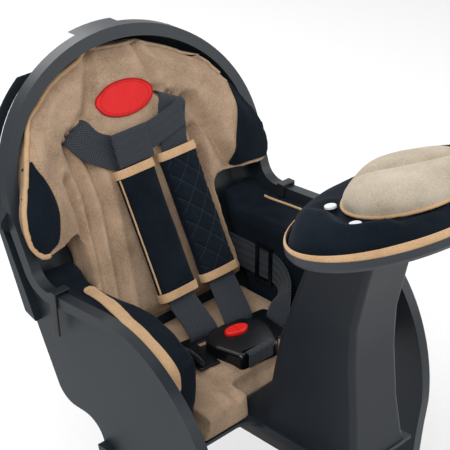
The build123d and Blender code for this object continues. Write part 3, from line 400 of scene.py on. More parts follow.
TAN = brushed_cloth(
    "tan microfibre", (0.17, 0.112, 0.070), (0.49, 0.345, 0.235), 0.2, (1, 0.9, 0.78)
)
CREAM = brushed_cloth(
    "cream microfibre", (0.34, 0.28, 0.205), (0.55, 0.48, 0.385), 0.2, (1, 0.96, 0.9)
)
BLACK_CLOTH = brushed_cloth(
    "black microfibre", (0.0014, 0.0030, 0.0056), (0.0068, 0.0115, 0.018), 0.03, (0.5, 0.65, 0.85)
)
BINDING = brushed_cloth("tan binding", (0.4, 0.235, 0.12), (0.62, 0.41, 0.235), 0.2, (1, 0.85, 0.7))
QUILT_THREAD = brushed_cloth(
    "quilting thread", (0.03, 0.045, 0.06), (0.07, 0.09, 0.11), 0.1, (0.7, 0.8, 1)
)
PATCH_RED = brushed_cloth(
    "red patch", (0.60, 0.018, 0.02), (0.74, 0.035, 0.035), 0.03, (1, 0.7, 0.7), 0.2
)
PATCH_BORDER = brushed_cloth(
    "red border", (0.30, 0.008, 0.01), (0.45, 0.014, 0.016), 0.03, (1, 0.7, 0.7), 0.2
)
WEBBING = woven_webbing("black webbing", (0.004, 0.006, 0.009), (0.10, 0.12, 0.145))
SHELL = moulded_plastic("shell plastic", (0.0105, 0.0150, 0.0195), 0.40)
POST = moulded_plastic("post plastic", (0.0095, 0.0125, 0.017), 0.46)
TRAY = moulded_plastic("tray plastic", (0.026, 0.030, 0.036), 0.42)
BUCKLE = moulded_plastic("buckle plastic", (0.0025, 0.0035, 0.005), 0.2, 0.08, gloss=0.4)
RED = moulded_plastic("button plastic", (0.72, 0.012, 0.010), 0.32, 0.1, 1.15)
WHITE = moulded_plastic("snap plastic", (0.72, 0.75, 0.78), 0.25, 0.05, 1.1)
TAB = moulded_plastic("clip plastic", (0.010, 0.012, 0.014), 0.4)
RUBBER = moulded_plastic("strap rubber", (0.02, 0.02, 0.022), 0.7)
ZINC = metal("zinc plate", (0.62, 0.63, 0.65), 0.35)
COATED = moulded_plastic("coated steel", (0.016, 0.016, 0.018), 0.38, 0.15)


def fit_out(obj, material, slot, *nodes, body="seat"):
    """Gives a finished piece its material and its body, and hides the CAD nodes it stands for; the
    slot is not used.
    """
    obj.data.materials.clear()
    obj.data.materials.append(material)
    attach(obj, body)
    if nodes:
        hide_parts(*nodes)


def trim(obj):
    """Fits out a band, a piping or a row of stitches in tan."""
    fit_out(obj, BINDING, "tan_fabric")


def moulded(node, material, slot, width, segments=2, body="seat"):
    """Puts a copy with rounded edges in the place of a moulded or pressed node."""
    obj = copy_of(node, node + "_moulded")
    round_edges(obj, "edges", width, segments, 35).miter_outer = "MITER_ARC"
    bake_modifiers(obj)
    smooth(obj, 40)
    flat = obj.modifiers.new("flat faces", "WEIGHTED_NORMAL")
    flat.keep_sharp = True
    flat.weight = 100
    bake_modifiers(obj)
    fit_out(obj, material, slot, node, body=body)


def reface(node, material):
    """A better material on a CAD node whose shape stays."""
    mesh = NODES[node].data
    mesh.materials.clear()
    mesh.materials.append(material)


# Hard parts

MOULDED_PARTS = (
    ("seat_shell", SHELL, "shell_plastic", 1.4),
    ("pommel_post", POST, "post_plastic", 2.0, 3),
    ("bumper_tray", TRAY, "tray_plastic", 1.0),
    ("mount_channel", COATED, "channel_steel", 0.6),
    ("harness_anchor", COATED, "channel_steel", 0.8),
    ("crotch_anchor", COATED, "channel_steel", 0.8),
    ("buckle_base", BUCKLE, "buckle_plastic", 0.8),
    ("buckle_cover", BUCKLE, "buckle_plastic", 0.8),
    ("release_button", RED, "red_plastic", 0.5, 2, "button"),
)
PAIRED_PARTS = (
    ("buckle_tongue", BUCKLE, "buckle_plastic", 0.6),
    ("belt_adjuster", BUCKLE, "buckle_plastic", 0.5),
    ("pad_tab", TAB, "tab_plastic", 0.7),
)
FOOT_PARTS = (
    ("foot_cup", SHELL, "cup_plastic", 1.0),
    ("cup_latch", SHELL, "cup_plastic", 1.0),
    ("foot_strap", RUBBER, "strap_rubber", 0.8),
)
for part in MOULDED_PARTS:
    moulded(*part)
for hand, _ in SIDES:
    for part, *looks in PAIRED_PARTS:
        moulded(f"{part}_{hand}", *looks)
    for part, *looks in FOOT_PARTS:
        moulded(f"{part}_{hand}", *looks, body=hand + "_foot")
    reface(f"latch_screw_{hand}", ZINC)
    reface(f"tray_screw_{hand}", ZINC)
    for end in ("front", "back"):
        reface(f"channel_bolt_{end}_{hand}", ZINC)
        reface(f"post_screw_{end}_{hand}", ZINC)
for number in range(1, 5):
    reface(f"pad_snap_{number}", WHITE)

# The coil spring under the button, copied with smooth shading and a mesh of its own

spring = copy_of("button_spring", "button_spring_coiled")
fit_out(spring, ZINC, "fastener_steel", "button_spring")
smooth(spring, 60)
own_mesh(spring)


# What cushions, sewn lines and straps are made with

FACING_LEAST = 0.2
RIDGE_AT = 2.4
RIDGE_SHARE = 0.35
HEM_SHARE = 0.4
BAR_PROFILE = ((-0.5, 0.4), (-0.3, 1.0), (0.3, 1.0), (0.5, 0.4))
BAR_SIDES = 6
ROW_LENGTH = 6 * MM
FILLING = {
    "quality": 5,
    "mass": 0.2,
    "tension_stiffness": 12,
    "compression_stiffness": 12,
    "shear_stiffness": 6,
    "bending_stiffness": 0.6,
    "use_pressure": True,
}


def remeshed(node, name, voxel=5.0):
    """A cushion's CAD copy as an even mesh that cloth can work on."""
    obj = copy_of(node, name)
    pick(obj)
    obj.data.remesh_voxel_size = voxel * MM
    bpy.ops.object.voxel_remesh()
    return obj


def swell(obj, cap, share, pressure=4.0, shrink=2.0, frames=20):
    """Fills a cushion with the cloth simulation and caps how far each point may move."""
    mesh = obj.data
    normals = [v.normal.copy() for v in mesh.vertices]
    shares = [share(v.co) for v in mesh.vertices]
    for vertex, normal, part in zip(mesh.vertices, normals, shares):
        vertex.co -= normal * shrink * MM * part
    start = [v.co.copy() for v in mesh.vertices]
    cloth = obj.modifiers.new("fill", "CLOTH")
    for key, value in FILLING.items():
        setattr(cloth.settings, key, value)
    cloth.settings.uniform_pressure_force = pressure
    cloth.settings.effector_weights.gravity = 0
    cloth.point_cache.frame_start = 1
    cloth.point_cache.frame_end = frames
    scene = bpy.context.scene
    for number in range(1, frames + 1):
        scene.frame_set(number)
    bake_modifiers(obj)
    scene.frame_set(1)
    for vertex, place, part in zip(obj.data.vertices, start, shares):
        move = vertex.co - place
        limit = cap * MM * part
        if move.length > limit:
            vertex.co = place + move.normalized() * limit
    relax = obj.modifiers.new("relax", "SMOOTH")
    relax.factor = 0.5
    relax.iterations = 4
    bake_modifiers(obj)


def refine(obj):
    """Rounds a filled cushion's mesh off once more."""
    finer = obj.modifiers.new("finer", "SUBSURF")
    finer.levels = 1
    finer.render_levels = 1
    bake_modifiers(obj)
    smooth_all(obj)


def line_gap(path, u, v):
    """The distance from a point to a path, in the path's own plane."""
    gap = 1e9
    for (au, av), (bu, bv) in zip(path, path[1:]):
        du, dv = bu - au, bv - av
        t = max(0.0, min(1.0, ((u - au) * du + (v - av) * dv) / (du * du + dv * dv)))
        gap = min(gap, math.hypot(u - au - t * du, v - av - t * dv))
    return gap


def nearest_gap(paths, u, v):
    """The distance from a point to the nearest of several paths."""
    return min(line_gap(path, u, v) for path in paths)


def eased_share(value, span):
    """A share from 0 to 1 that rises with a distance."""
    return min(1.0, max(0.0, value / span))


def freed(least, gap, span):
    """How freely cloth swells beside a sewn line, from a least share up to 1."""
    return least + (1 - least) * eased_share(gap, span)


def groove(obj, paths, depth, width, coords, facing):
    """Presses sewn lines or folds into the side of a cushion that faces one way."""
    mesh = obj.data
    moves = []
    for vertex in mesh.vertices:
        if vertex.normal.dot(facing) < FACING_LEAST:
            moves.append(0.0)
            continue
        u, v = coords(vertex.co)[:2]
        gap = nearest_gap(paths, u, v)
        valley = math.exp(-((gap / width) ** 2))
        ridge = math.exp(-((gap / width - RIDGE_AT) ** 2))
        moves.append(depth * MM * (valley - RIDGE_SHARE * ridge))
    for vertex, move in zip(mesh.vertices, moves):
        vertex.co -= facing * move


def grid_faces(rows, wide, around=False):
    """The faces between rows of points, which may close around."""
    faces = []
    for row in range(rows - 1):
        for k in range(wide if around else wide - 1):
            a, b = row * wide + k, row * wide + (k + 1) % wide
            faces.append((a, b, b + wide, a + wide))
    return faces


def cloth_grid(name, rows, outward, thick, around=False):
    """A piece of cloth through rows of points on what carries it."""
    verts = [point for row in rows for point in row]
    faces = grid_faces(len(rows), len(rows[0]), around)
    return thickened(name, verts, faces, outward, thick)


def cloth_patch(name, middle, rings, outward, thick):
    """A closed patch of cloth from its middle out through rings of points."""
    sides = len(rings[0])
    verts = [middle] + [point for ring in rings for point in ring]
    faces = [(0, 1 + k, 1 + (k + 1) % sides) for k in range(sides)]
    for ring in range(len(rings) - 1):
        first = 1 + ring * sides
        for k in range(sides):
            a, b = first + k, first + (k + 1) % sides
            faces.append((a, a + sides, b + sides, b))
    return thickened(name, verts, faces, outward, thick)


def thickened(name, verts, faces, outward, thick):
    """Cloth from its points and faces, thickened outwards, with a soft hem."""
    obj = faced_piece(name, verts, faces)
    mesh = obj.data
    mesh.update()
    facing = sum(p.area for p in mesh.polygons if p.normal.dot(outward(p.center)) > 0)
    if facing < 0.5 * sum(p.area for p in mesh.polygons):
        mesh.flip_normals()
    thicken(obj, thick, 1, HEM_SHARE * thick, 60)
    return obj


def surface_of(obj):
    """A search tree over a finished piece's faces."""
    places = [v.co for v in obj.data.vertices]
    return BVHTree.FromPolygons(places, [tuple(p.vertices) for p in obj.data.polygons])


def laid(surface, points, lift):
    """Points brought onto a cushion's surface and lifted off it a little."""
    out = []
    for point in points:
        place, normal, _, _ = surface.find_nearest(point)
        out.append(place + normal * lift * MM)
    return out


def dropped(surface, points, way, lift=0.2):
    """Points moved one way until they meet a cushion, without those that miss it."""
    out = []
    for point in points:
        place, normal, _, _ = surface.ray_cast(point, way)
        if place is not None:
            out.append(place + normal * lift * MM)
    return out


def smooth_line(points, closed=False, steps=6):
    """A Catmull-Rom line through points, as a list of closer points."""
    count = len(points)
    out = []
    for i in range(count if closed else count - 1):
        near = [i - 1, i, i + 1, i + 2]
        near = [k % count if closed else min(max(k, 0), count - 1) for k in near]
        a, b, c, d = (points[k] for k in near)
        for step in range(steps):
            t = step / steps
            bend = (2 * a - 5 * b + 4 * c - d) * t * t + (3 * b - a - 3 * c + d) * t**3
            out.append(0.5 * (2 * b + (c - a) * t + bend))
    if not closed:
        out.append(points[-1].copy())
    return out


def tube(name, points, radius, closed=False):
    """A round cord, such as piping, along a line of points."""
    curve = bpy.data.curves.new(name, "CURVE")
    curve.dimensions = "3D"
    curve.bevel_depth = radius * MM
    curve.bevel_resolution = 2
    curve.use_fill_caps = True
    spline = curve.splines.new("POLY")
    spline.points.add(len(points) - 1)
    for point, place in zip(spline.points, points):
        point.co = (*place, 1)
    spline.use_cyclic_u = closed
    drawn = new_piece(name + "_line", curve)
    bpy.context.view_layer.update()
    piece = new_piece(name, bpy.data.meshes.new_from_object(drawn))
    bpy.data.objects.remove(drawn)
    smooth_all(piece)
    return piece


def stitches(name, line, length=3.0, pitch=4.6, radius=0.45):
    """A row of sewn stitches, each a short six-sided bar, along a line of points."""
    verts, faces = [], []
    run = 0.0
    spots = []
    for a, b in zip(line, line[1:]):
        span = (b - a).length
        while run <= span and span > 0:
            spots.append((a.lerp(b, run / span), (b - a).normalized()))
            run += pitch * MM
        run -= span
    for middle, along in spots:
        side = along.orthogonal().normalized()
        over = along.cross(side)
        first = len(verts)
        for end, size in BAR_PROFILE:
            for turn in turns_of(BAR_SIDES):
                ring = (side * math.cos(turn) + over * math.sin(turn)) * radius * size * MM
                verts.append(middle + along * end * length * MM + ring)
        last = first + (len(BAR_PROFILE) - 1) * BAR_SIDES
        for face in grid_faces(len(BAR_PROFILE), BAR_SIDES, around=True):
            faces.append(tuple(first + k for k in face))
        faces.append(tuple(first + k for k in reversed(range(BAR_SIDES))))
        faces.append(tuple(last + k for k in range(BAR_SIDES)))
    piece = faced_piece(name, verts, faces)
    smooth_all(piece)
    return piece


def rounded(stations, reach, steps=6):
    """Strap stations with each turn eased into an arc: points, and the way across at each."""
    out = [stations[0]]
    for before, here, after in zip(stations, stations[1:], stations[2:]):
        back = before[0] - here[0]
        ahead = after[0] - here[0]
        cut_back = min(reach * MM, 0.45 * back.length) / back.length
        cut_ahead = min(reach * MM, 0.45 * ahead.length) / ahead.length
        start = (here[0] + back * cut_back, here[1].lerp(before[1], cut_back))
        end = (here[0] + ahead * cut_ahead, here[1].lerp(after[1], cut_ahead))
        for step in range(steps + 1):
            t = step / steps
            place = start[0] * (1 - t) ** 2 + here[0] * 2 * t * (1 - t) + end[0] * t * t
            over = start[1] * (1 - t) ** 2 + here[1] * 2 * t * (1 - t) + end[1] * t * t
            out.append((place, over))
    out.append(stations[-1])
    return out


def webbing(node, stations, width=38.0, thick=1.9, reach=14.0, columns=8):
    """A woven strap for a CAD node, with a map in millimetres along and across it."""
    turned = rounded([(p, o.normalized()) for p, o in stations], reach)
    rows = []
    for (a, over_a), (b, over_b) in zip(turned, turned[1:]):
        pieces = max(1, int((b - a).length / ROW_LENGTH))
        rows += [(a.lerp(b, k / pieces), over_a.lerp(over_b, k / pieces)) for k in range(pieces)]
    rows.append(turned[-1])
    verts, coords = [], []
    run = 0.0
    for i, (middle, over) in enumerate(rows):
        run += (middle - rows[i - 1][0]).length / MM if i else 0.0
        for column in range(columns + 1):
            across = (column / columns - 0.5) * width
            verts.append(middle + over.normalized() * across * MM)
            coords.append((run, across + 2 * width))
    obj = faced_piece(node + "_woven", verts, grid_faces(len(rows), columns + 1))
    layer = obj.data.uv_layers.new(name="strap_map")
    for loop in obj.data.loops:
        layer.data[loop.index].uv = coords[loop.vertex_index]
    thicken(obj, thick, 0, 0.5, 50)
    fit_out(obj, WEBBING, "webbing", node)


# Seat cushion

SEAT_FOLDS = (((-60, -58), (-56, 60)), ((60, -58), (56, 60)))
SEAT_FOOT = 18
SEAT_TOP = 52
SEAM_X = 60
SEAM_SLANT = 0.034
seat_pad = remeshed("seat_cushion", "seat_pad_sewn")


def seat_share(point):
    """How freely the seat cushion swells: not at its foot, and little at its seams."""
    x, y, z = point / MM
    return eased_share(z - SEAT_FOOT, 10) * freed(0.3, nearest_gap(SEAT_FOLDS, x, y), 22)


swell(seat_pad, 6.0, seat_share)
refine(seat_pad)
groove(seat_pad, SEAT_FOLDS, 3.0, 5.0, lambda p: p / MM, UP)
fit_out(seat_pad, TAN, "tan_fabric", "seat_cushion")
seat_top = surface_of(seat_pad)
for hand, side in SIDES:
    run = range(-50, 50, 6)
    line = [Vector((side * (SEAM_X - SEAM_SLANT * y), y, SEAT_TOP)) * MM for y in run]
    trim(stitches(f"seat_stitches_{hand}", laid(seat_top, line, 0.2)))

# Bolsters: black sides with a tan band sewn along the top

BAND_LINE = ((104, 124), (58, 135), (9, 149), (-24, 152), (-49, 152), (-66, 152))
BAND_HALF = 8.0
BAND_ENDS = (102, -60)
BAND_FRONT = (113, 92)
BAND_BLUNT = 0.5
BAND_STEPS = 4
BAND_LIFT = 0.4
FINE_STEP, COARSE_STEP = 1.0, 2.5
ABOVE_SEAT, BEFORE_SEAT = 260, -150
FAR_PIPING_X = 152
WALL_SIDE = 156.0
BOLSTER_FOOT = 20
BOLSTER_FACING = Vector((0, -0.35, 0.94)).normalized()
GATHER_SCALE = 170.0
GATHER_LIFT = 0.6


def band_middle(y):
    """Where the seam along a bolster's top runs, by how far back it is."""
    for (y_back, x_back), (y_front, x_front) in zip(BAND_LINE, BAND_LINE[1:]):
        if y >= y_front:
            return x_back + (x_front - x_back) * eased_share(y_back - y, y_back - y_front)
    return BAND_LINE[-1][1]


def bolster_share(point):
    """How freely a bolster swells: not at the shell's wall or at its foot."""
    wall = eased_share(WALL_SIDE - abs(point.x) / MM, 20)
    return wall * eased_share(point.z / MM - BOLSTER_FOOT, 12)


def round_end(reach):
    """Half of the band's width at a distance from its round end."""
    inner = BAND_HALF - min(BAND_HALF, reach)
    return math.sqrt(BAND_HALF**2 - inner**2)


def bolster_band(bolster, side):
    """The tan band along a bolster's top and down its front, gathered, with round ends."""
    skin = surface_of(bolster)
    shares = [k / BAND_STEPS for k in range(-BAND_STEPS, BAND_STEPS + 1)]
    rows = []
    y = BAND_ENDS[0]
    while y > BAND_ENDS[1]:
        half = round_end(BAND_ENDS[0] + BAND_BLUNT - y)
        xs = [side * (band_middle(y) + half * share) for share in shares]
        starts = [Vector((x, y, ABOVE_SEAT)) * MM for x in xs]
        rows.append(dropped(skin, starts, -UP, BAND_LIFT))
        y -= FINE_STEP if y > BAND_ENDS[0] - BAND_HALF else COARSE_STEP
    z = BAND_FRONT[0]
    while z > BAND_FRONT[1]:
        half = round_end(z - BAND_FRONT[1] + BAND_BLUNT)
        xs = [side * (BAND_LINE[-1][1] + half * share) for share in shares]
        starts = [Vector((x, BEFORE_SEAT, z)) * MM for x in xs]
        rows.append(dropped(skin, starts, Vector((0, 1, 0)), BAND_LIFT))
        z -= FINE_STEP if z < BAND_FRONT[1] + BAND_HALF else COARSE_STEP
    rows = [row for row in rows if len(row) == len(shares)]
    for row in rows:
        lifts = [
            GATHER_LIFT + noise.noise(p * GATHER_SCALE) * (1 - share**2)
            for p, share in zip(row, shares)
        ]
        row[:] = [p + BOLSTER_FACING * lift * MM for p, lift in zip(row, lifts)]
    return cloth_grid("hip_bolster_band", rows, lambda p: BOLSTER_FACING, 1.6)


for hand, side in SIDES:
    bolster = remeshed(f"hip_bolster_{hand}", f"hip_bolster_{hand}_sewn")
    swell(bolster, 6.0, bolster_share)
    refine(bolster)
    fit_out(bolster, BLACK_CLOTH, "black_fabric", f"hip_bolster_{hand}")
    if side < 0:
        trim(bolster_band(bolster, side))
    else:
        line = [Vector((FAR_PIPING_X, y, ABOVE_SEAT)) * MM for y in range(106, -60, -4)]
        cast = dropped(surface_of(bolster), line, -UP, 0.6)
        trim(tube("hip_bolster_piping", cast, 1.5))

# Back cushion, its folds, its black wing patches and its piping

HEAD_LINE = (
    (0, 400), (50, 388), (90, 362), (123, 331), (147, 296),
    (166, 259), (178, 232), (184, 204), (177, 184), (158, 177),
)
HEAD_LINE_OUT = 46
BACK_FOLDS = (
    ((-18, 372), (-30, 340), (-48, 300)),
    ((43, 352), (50, 325), (54, 298)),
    ((-86, 268), (-80, 220), (-84, 150), (-92, 90)),
    ((-64, 262), (-58, 200), (-66, 130), (-74, 70)),
    ((-100, 240), (-96, 190), (-98, 120)),
    ((92, 272), (106, 232), (118, 186)),
    ((84, 240), (88, 160), (92, 80)),
    ((12, 150), (14, 60)),
)
STRAP_SLOTS = (((-71, 262), (-71, 308)), ((71, 262), (71, 308)))
BACK_REST = 6
SLOT_HELD = 6
back_pad = remeshed("back_cushion", "back_pad_sewn")


def back_share(point):
    """How freely the back cushion swells: not on the shell or round the strap slots."""
    x, up, out = back_coords(point)
    slots = eased_share(nearest_gap(STRAP_SLOTS, x, up) - SLOT_HELD, 22)
    folds = freed(0.15, nearest_gap(BACK_FOLDS, x, up), 18)
    return eased_share(out - BACK_REST, 12) * slots * folds


swell(back_pad, 9.0, back_share, shrink=3.0)
refine(back_pad)
groove(back_pad, BACK_FOLDS, 7.0, 5.0, back_coords, BACK_OUT)
fit_out(back_pad, TAN, "tan_fabric", "back_cushion")
back_face = surface_of(back_pad)

BEFORE_BACK = 120
WING_FROM = 118
WING_FLOOR = 31
WING_TOP = 48


def on_cushion(x, up, lift):
    """A point on the back cushion's face, or on the wing's edge where it is past that."""
    place, normal, _, _ = back_face.ray_cast(on_back(x, up, BEFORE_BACK), -BACK_OUT)
    if place is None or (abs(x) > WING_FROM and back_coords(place)[2] < WING_FLOOR):
        place, normal, _, _ = back_face.find_nearest(on_back(x, up, WING_TOP))
    return place + normal * lift * MM


WING_MIDDLE = (158, 222)
WING_OUTER = ((168, 180), (177, 184), (182, 194), (183, 206), (178, 226), (170, 246), (163, 263))
WING_SEAMS = {
    "right": (
        (143, 275), (141, 264), (138, 252), (133, 234),
        (132, 218), (136, 203), (142, 188), (154, 182),
    ),
    "left": ((148, 279), (145, 262), (140, 241), (133, 220), (126, 200), (122, 184), (140, 182)),
}
WING_INSET = {"right": 6.5, "left": 3.0}
WING_RINGS = 8
# The piping cords along the head's edge are real. The near (right) one is made in the lighter
# binding tan as a painted highlight along its lit edge, while the far (left) one keeps the
# cushion's tan.
EDGE_LINES = {
    "right": (HEAD_LINE, BINDING, 3.0),
    "left": (HEAD_LINE[:5], TAN, 2.2),
}


def wing_patch(hand, side):
    """The black patch on a wing, in rings that follow its outline."""
    seam = WING_SEAMS[hand]
    outer = tuple((x - WING_INSET[hand], up) for x, up in WING_OUTER)
    corners = [Vector((side * x, up, 0)) for x, up in seam + outer]
    outline = smooth_line(corners, closed=True, steps=5)
    middle = Vector((side * WING_MIDDLE[0], WING_MIDDLE[1], 0))
    rings = []
    for ring in range(1, WING_RINGS + 1):
        places = [middle.lerp(point, ring / WING_RINGS) for point in outline]
        rings.append([on_cushion(place.x, place.y, 0.3) for place in places])
    centre = on_cushion(middle.x, middle.y, 0.3)
    return cloth_patch(f"wing_patch_{hand}", centre, rings, lambda p: BACK_OUT, 1.4)


for hand, side in SIDES:
    edge, cloth, size = EDGE_LINES[hand]
    edge_line = smooth_line([on_back(side * x, up, HEAD_LINE_OUT) for x, up in edge])
    cord = tube(f"head_piping_{hand}", laid(back_face, edge_line, 0.4), size)
    fit_out(cord, cloth, "tan_fabric")
    fit_out(wing_patch(hand, side), BLACK_CLOTH, "black_fabric")
    run = [on_cushion(side * (x - 4), up, 0.2) for x, up in WING_SEAMS[hand][:-1]]
    trim(stitches(f"wing_stitches_{hand}", smooth_line(run, steps=4), 2.6, 4.4, 0.5))

# Red oval patch, plain, with its stitched border

PATCH_MIDDLE = (3, 301)
PATCH_HALF = (39, 19)
PATCH_TURN = math.radians(-3)
PATCH_RINGS = 7


def patch_place(turn, share, lift):
    """A point on the red patch, by the turn around it and the share of its reach."""
    u = math.cos(turn) * PATCH_HALF[0] * share
    v = math.sin(turn) * PATCH_HALF[1] * share
    x = PATCH_MIDDLE[0] + u * math.cos(PATCH_TURN) - v * math.sin(PATCH_TURN)
    up = PATCH_MIDDLE[1] + u * math.sin(PATCH_TURN) + v * math.cos(PATCH_TURN)
    return on_cushion(x, up, lift)


def oval_patch():
    """The oval patch in rings laid on the cushion."""
    shares = [ring / PATCH_RINGS for ring in range(1, PATCH_RINGS + 1)]
    rings = [[patch_place(turn, share, 0.4) for turn in turns_of(48)] for share in shares]
    return cloth_patch("head_patch", patch_place(0, 0, 0.4), rings, lambda p: BACK_OUT, 1.2)


fit_out(oval_patch(), PATCH_RED, "red_plastic")
border = [patch_place(turn, 1.0, 1.2) for turn in turns_of(64)]
fit_out(tube("head_patch_border", border, 1.0, closed=True), PATCH_BORDER, "red_plastic")
inner_line = [patch_place(turn, 0.88, 1.7) for turn in turns_of(64, more=1)]
row = stitches("head_patch_stitches", inner_line, 2.0, 3.0, 0.35)
fit_out(row, PATCH_BORDER, "red_plastic")

# Bumper pad, its tan band and its pillow

SNAPS = ((-85, -19), (85, -19), (-60, 33), (60, 33))
BUMPER_FOLDS = (
    ((-60, 33), (-85, -19)),
    ((60, 33), (85, -19)),
    ((-85, -19), (-62, -52), (0, -72), (62, -52), (85, -19)),
)
BUMPER_FOOT = 9
SNAP_HELD = 7
PILLOW_LONG, PILLOW_SHORT, PILLOW_BACK = 70, 51, -10
PIPING_BESIDE, PIPING_UP = 1.5, 31.5


def dash_coords(point):
    """The across, back and up of a point on the bumper, in millimetres."""
    away = (point - DASH_AT) / MM
    return away.dot(ACROSS), away.dot(DASH_BACK), away.dot(DASH_UP)


def past_pillow(x, y):
    """How many millimetres a point is outside the pillow's oval, roughly."""
    share = math.hypot(x / PILLOW_LONG, (y - PILLOW_BACK) / PILLOW_SHORT)
    return (share - 1) * PILLOW_SHORT


def pillow_edge():
    """The line of the piping round the pillow's foot."""
    long, short = PILLOW_LONG + PIPING_BESIDE, PILLOW_SHORT + PIPING_BESIDE
    return [
        on_dash(long * math.cos(t), PILLOW_BACK + short * math.sin(t), PIPING_UP)
        for t in turns_of(72)
    ]


bumper = remeshed("bumper_pad", "bumper_pad_sewn", 4.0)


def bumper_share(point):
    """How freely the bumper swells: in lobes round the pillow, held at its snaps."""
    x, y, up = dash_coords(point)
    snap = min(math.hypot(x - sx, y - sy) for sx, sy in SNAPS)
    share = eased_share(up - BUMPER_FOOT, 8) * eased_share(snap - SNAP_HELD, 22)
    share *= freed(0.25, nearest_gap(BUMPER_FOLDS, x, y), 16)
    lobes = max(eased_share(abs(x) - 75, 25), eased_share(30 - y, 45))
    return share * eased_share(past_pillow(x, y), 10) * (0.1 + 0.9 * lobes)


swell(bumper, 12.0, bumper_share, pressure=12.0, shrink=-3.5, frames=24)
refine(bumper)
groove(bumper, BUMPER_FOLDS, 5.0, 7.0, dash_coords, DASH_UP)
fit_out(bumper, BLACK_CLOTH, "black_fabric", "bumper_pad")

BASE_LONG, BASE_SHORT, BASE_UP = 130, 85, 9.6
BASE_TALL, BASE_TALLER = 4.0, 5.0
BASE_ROLL = 1.6
BASE_STEPS = 6


def bumper_band():
    """The tan band round the bumper's foot, wider towards the front and rolled outwards."""
    rows = []
    for step in range(BASE_STEPS + 1):
        share = step / BASE_STEPS
        roll = BASE_ROLL * math.sin(math.pi * share)
        row = []
        for turn in turns_of(120):
            tall = BASE_TALL + BASE_TALLER * eased_share(0.4 - math.sin(turn), 1.2)
            x, y = (BASE_LONG + roll) * math.cos(turn), (BASE_SHORT + roll) * math.sin(turn)
            row.append(on_dash(x, y, BASE_UP + tall * share))
        rows.append(row)
    middle = on_dash(0, 0, 13)
    return cloth_grid("bumper_band", rows, lambda p: p - middle, 1.2, around=True)


trim(bumper_band())

PILLOW_SEAMS = (((-46, 28), (10, -12), (62, -46)), ((20, 40), (66, 4)))
PILLOW_FOOT = 32
SEAM_APART = 1.8
pillow = remeshed("nap_pillow", "nap_pillow_sewn", 4.0)


def pillow_share(point):
    """How freely the pillow swells: not at its foot, and little at its seams."""
    x, y, up = dash_coords(point)
    return eased_share(up - PILLOW_FOOT, 5) * freed(0.3, nearest_gap(PILLOW_SEAMS, x, y), 12)


swell(pillow, 7.0, pillow_share, pressure=8.0, shrink=-4.5)
refine(pillow)
groove(pillow, PILLOW_SEAMS, 2.6, 3.0, dash_coords, DASH_UP)
fit_out(pillow, CREAM, "cream_fabric", "nap_pillow")
trim(tube("pillow_piping", pillow_edge(), 1.8, closed=True))
pillow_top = surface_of(pillow)
for number, path in enumerate(PILLOW_SEAMS, start=1):
    for letter, shift in (("a", -SEAM_APART), ("b", SEAM_APART)):
        line = [on_dash(x + shift, y + shift, 60) for x, y in path]
        cast = dropped(pillow_top, smooth_line(line, steps=8), -DASH_UP)
        row = stitches(f"pillow_stitches_{number}{letter}", cast, 2.2, 3.4, 0.35)
        fit_out(row, BINDING, "cream_fabric")

# Shoulder pads

PAD_UP, PAD_OUT = 153, 43
PAD_STAND = math.tan(math.radians(5.7))
PAD_PLACES = {"right": -15, "left": 48}
BINDING_HALF = 4.8
PAD_ENDS = (("top", 72), ("bottom", -72))
QUILT = 27
QUILT_LINES = [
    ((-QUILT, level - QUILT * lean), (QUILT, level + QUILT * lean))
    for lean in (1, -1)
    for level in range(-3 * QUILT, 4 * QUILT, QUILT)
]
QUILT_HALF, QUILT_REACH = 24, 66
QUILT_STEPS = 24


def pad_point(x, up):
    """A point on a shoulder pad's middle line, which stands off the back lower down."""
    return on_back(x, PAD_UP + up, PAD_OUT - up * PAD_STAND)


for hand, middle in PAD_PLACES.items():
    pad = remeshed(f"shoulder_pad_{hand}", f"shoulder_pad_{hand}_sewn", 3.5)
    swell(pad, 3.0, lambda p: 1.0, shrink=1.5)
    refine(pad)
    along = (pad_point(middle, 1) - pad_point(middle, 0)).normalized()
    facing = ACROSS.cross(along).normalized()
    if facing.dot(BACK_OUT) < 0:
        facing = -facing

    def pad_coords(point, middle=middle, along=along, facing=facing):
        """The across, along and out of a point on this pad, in millimetres."""
        away = (point - pad_point(middle, 0)) / MM
        return away.x, away.dot(along), away.dot(facing)

    if hand == "left":
        groove(pad, QUILT_LINES, 0.9, 1.6, pad_coords, facing)
    fit_out(pad, BLACK_CLOTH, "black_fabric", f"shoulder_pad_{hand}")
    face = surface_of(pad)
    if hand == "left":
        for number, ((au, av), (bu, bv)) in enumerate(QUILT_LINES, start=1):
            run = []
            for k in range(QUILT_STEPS + 1):
                u, v = au + (bu - au) * k / QUILT_STEPS, av + (bv - av) * k / QUILT_STEPS
                if abs(v) < QUILT_REACH and abs(u) < QUILT_HALF:
                    away = Vector((u, 0, 0)) + along * v + facing * 30
                    run.append(pad_point(middle, 0) + away * MM)
            cast = dropped(face, run, -facing, 0.1)
            if len(cast) > 2:
                row = stitches(f"quilt_row_{number}", cast, 2.0, 3.4, 0.22)
                fit_out(row, QUILT_THREAD, "black_fabric")
    for end, level in PAD_ENDS:
        rows = []
        for step in range(-2, 3):
            centre = pad_point(middle, 0) + along * (level + step * BINDING_HALF / 2) * MM
            ring = []
            for turn in turns_of(60):
                away = Vector((38 * math.cos(turn), 0, 0)) + facing * 16 * math.sin(turn)
                ring.append(centre + away * MM)
            rows.append([p - along * (p - centre).dot(along) for p in laid(face, ring, 0.5)])
        centre = pad_point(middle, 0) + along * level * MM
        name = f"pad_binding_{end}_{hand}"
        trim(cloth_grid(name, rows, lambda p, c=centre: p - c, 1.1, around=True))
    if hand == "right":
        beside = (Vector((-26.5, 0, 0)) + facing * 3) * MM
        line = [pad_point(middle, v) + beside for v in range(-66, 67, 6)]
        trim(tube("pad_piping_right", laid(face, line, 0.3), 1.1))

# Harness straps

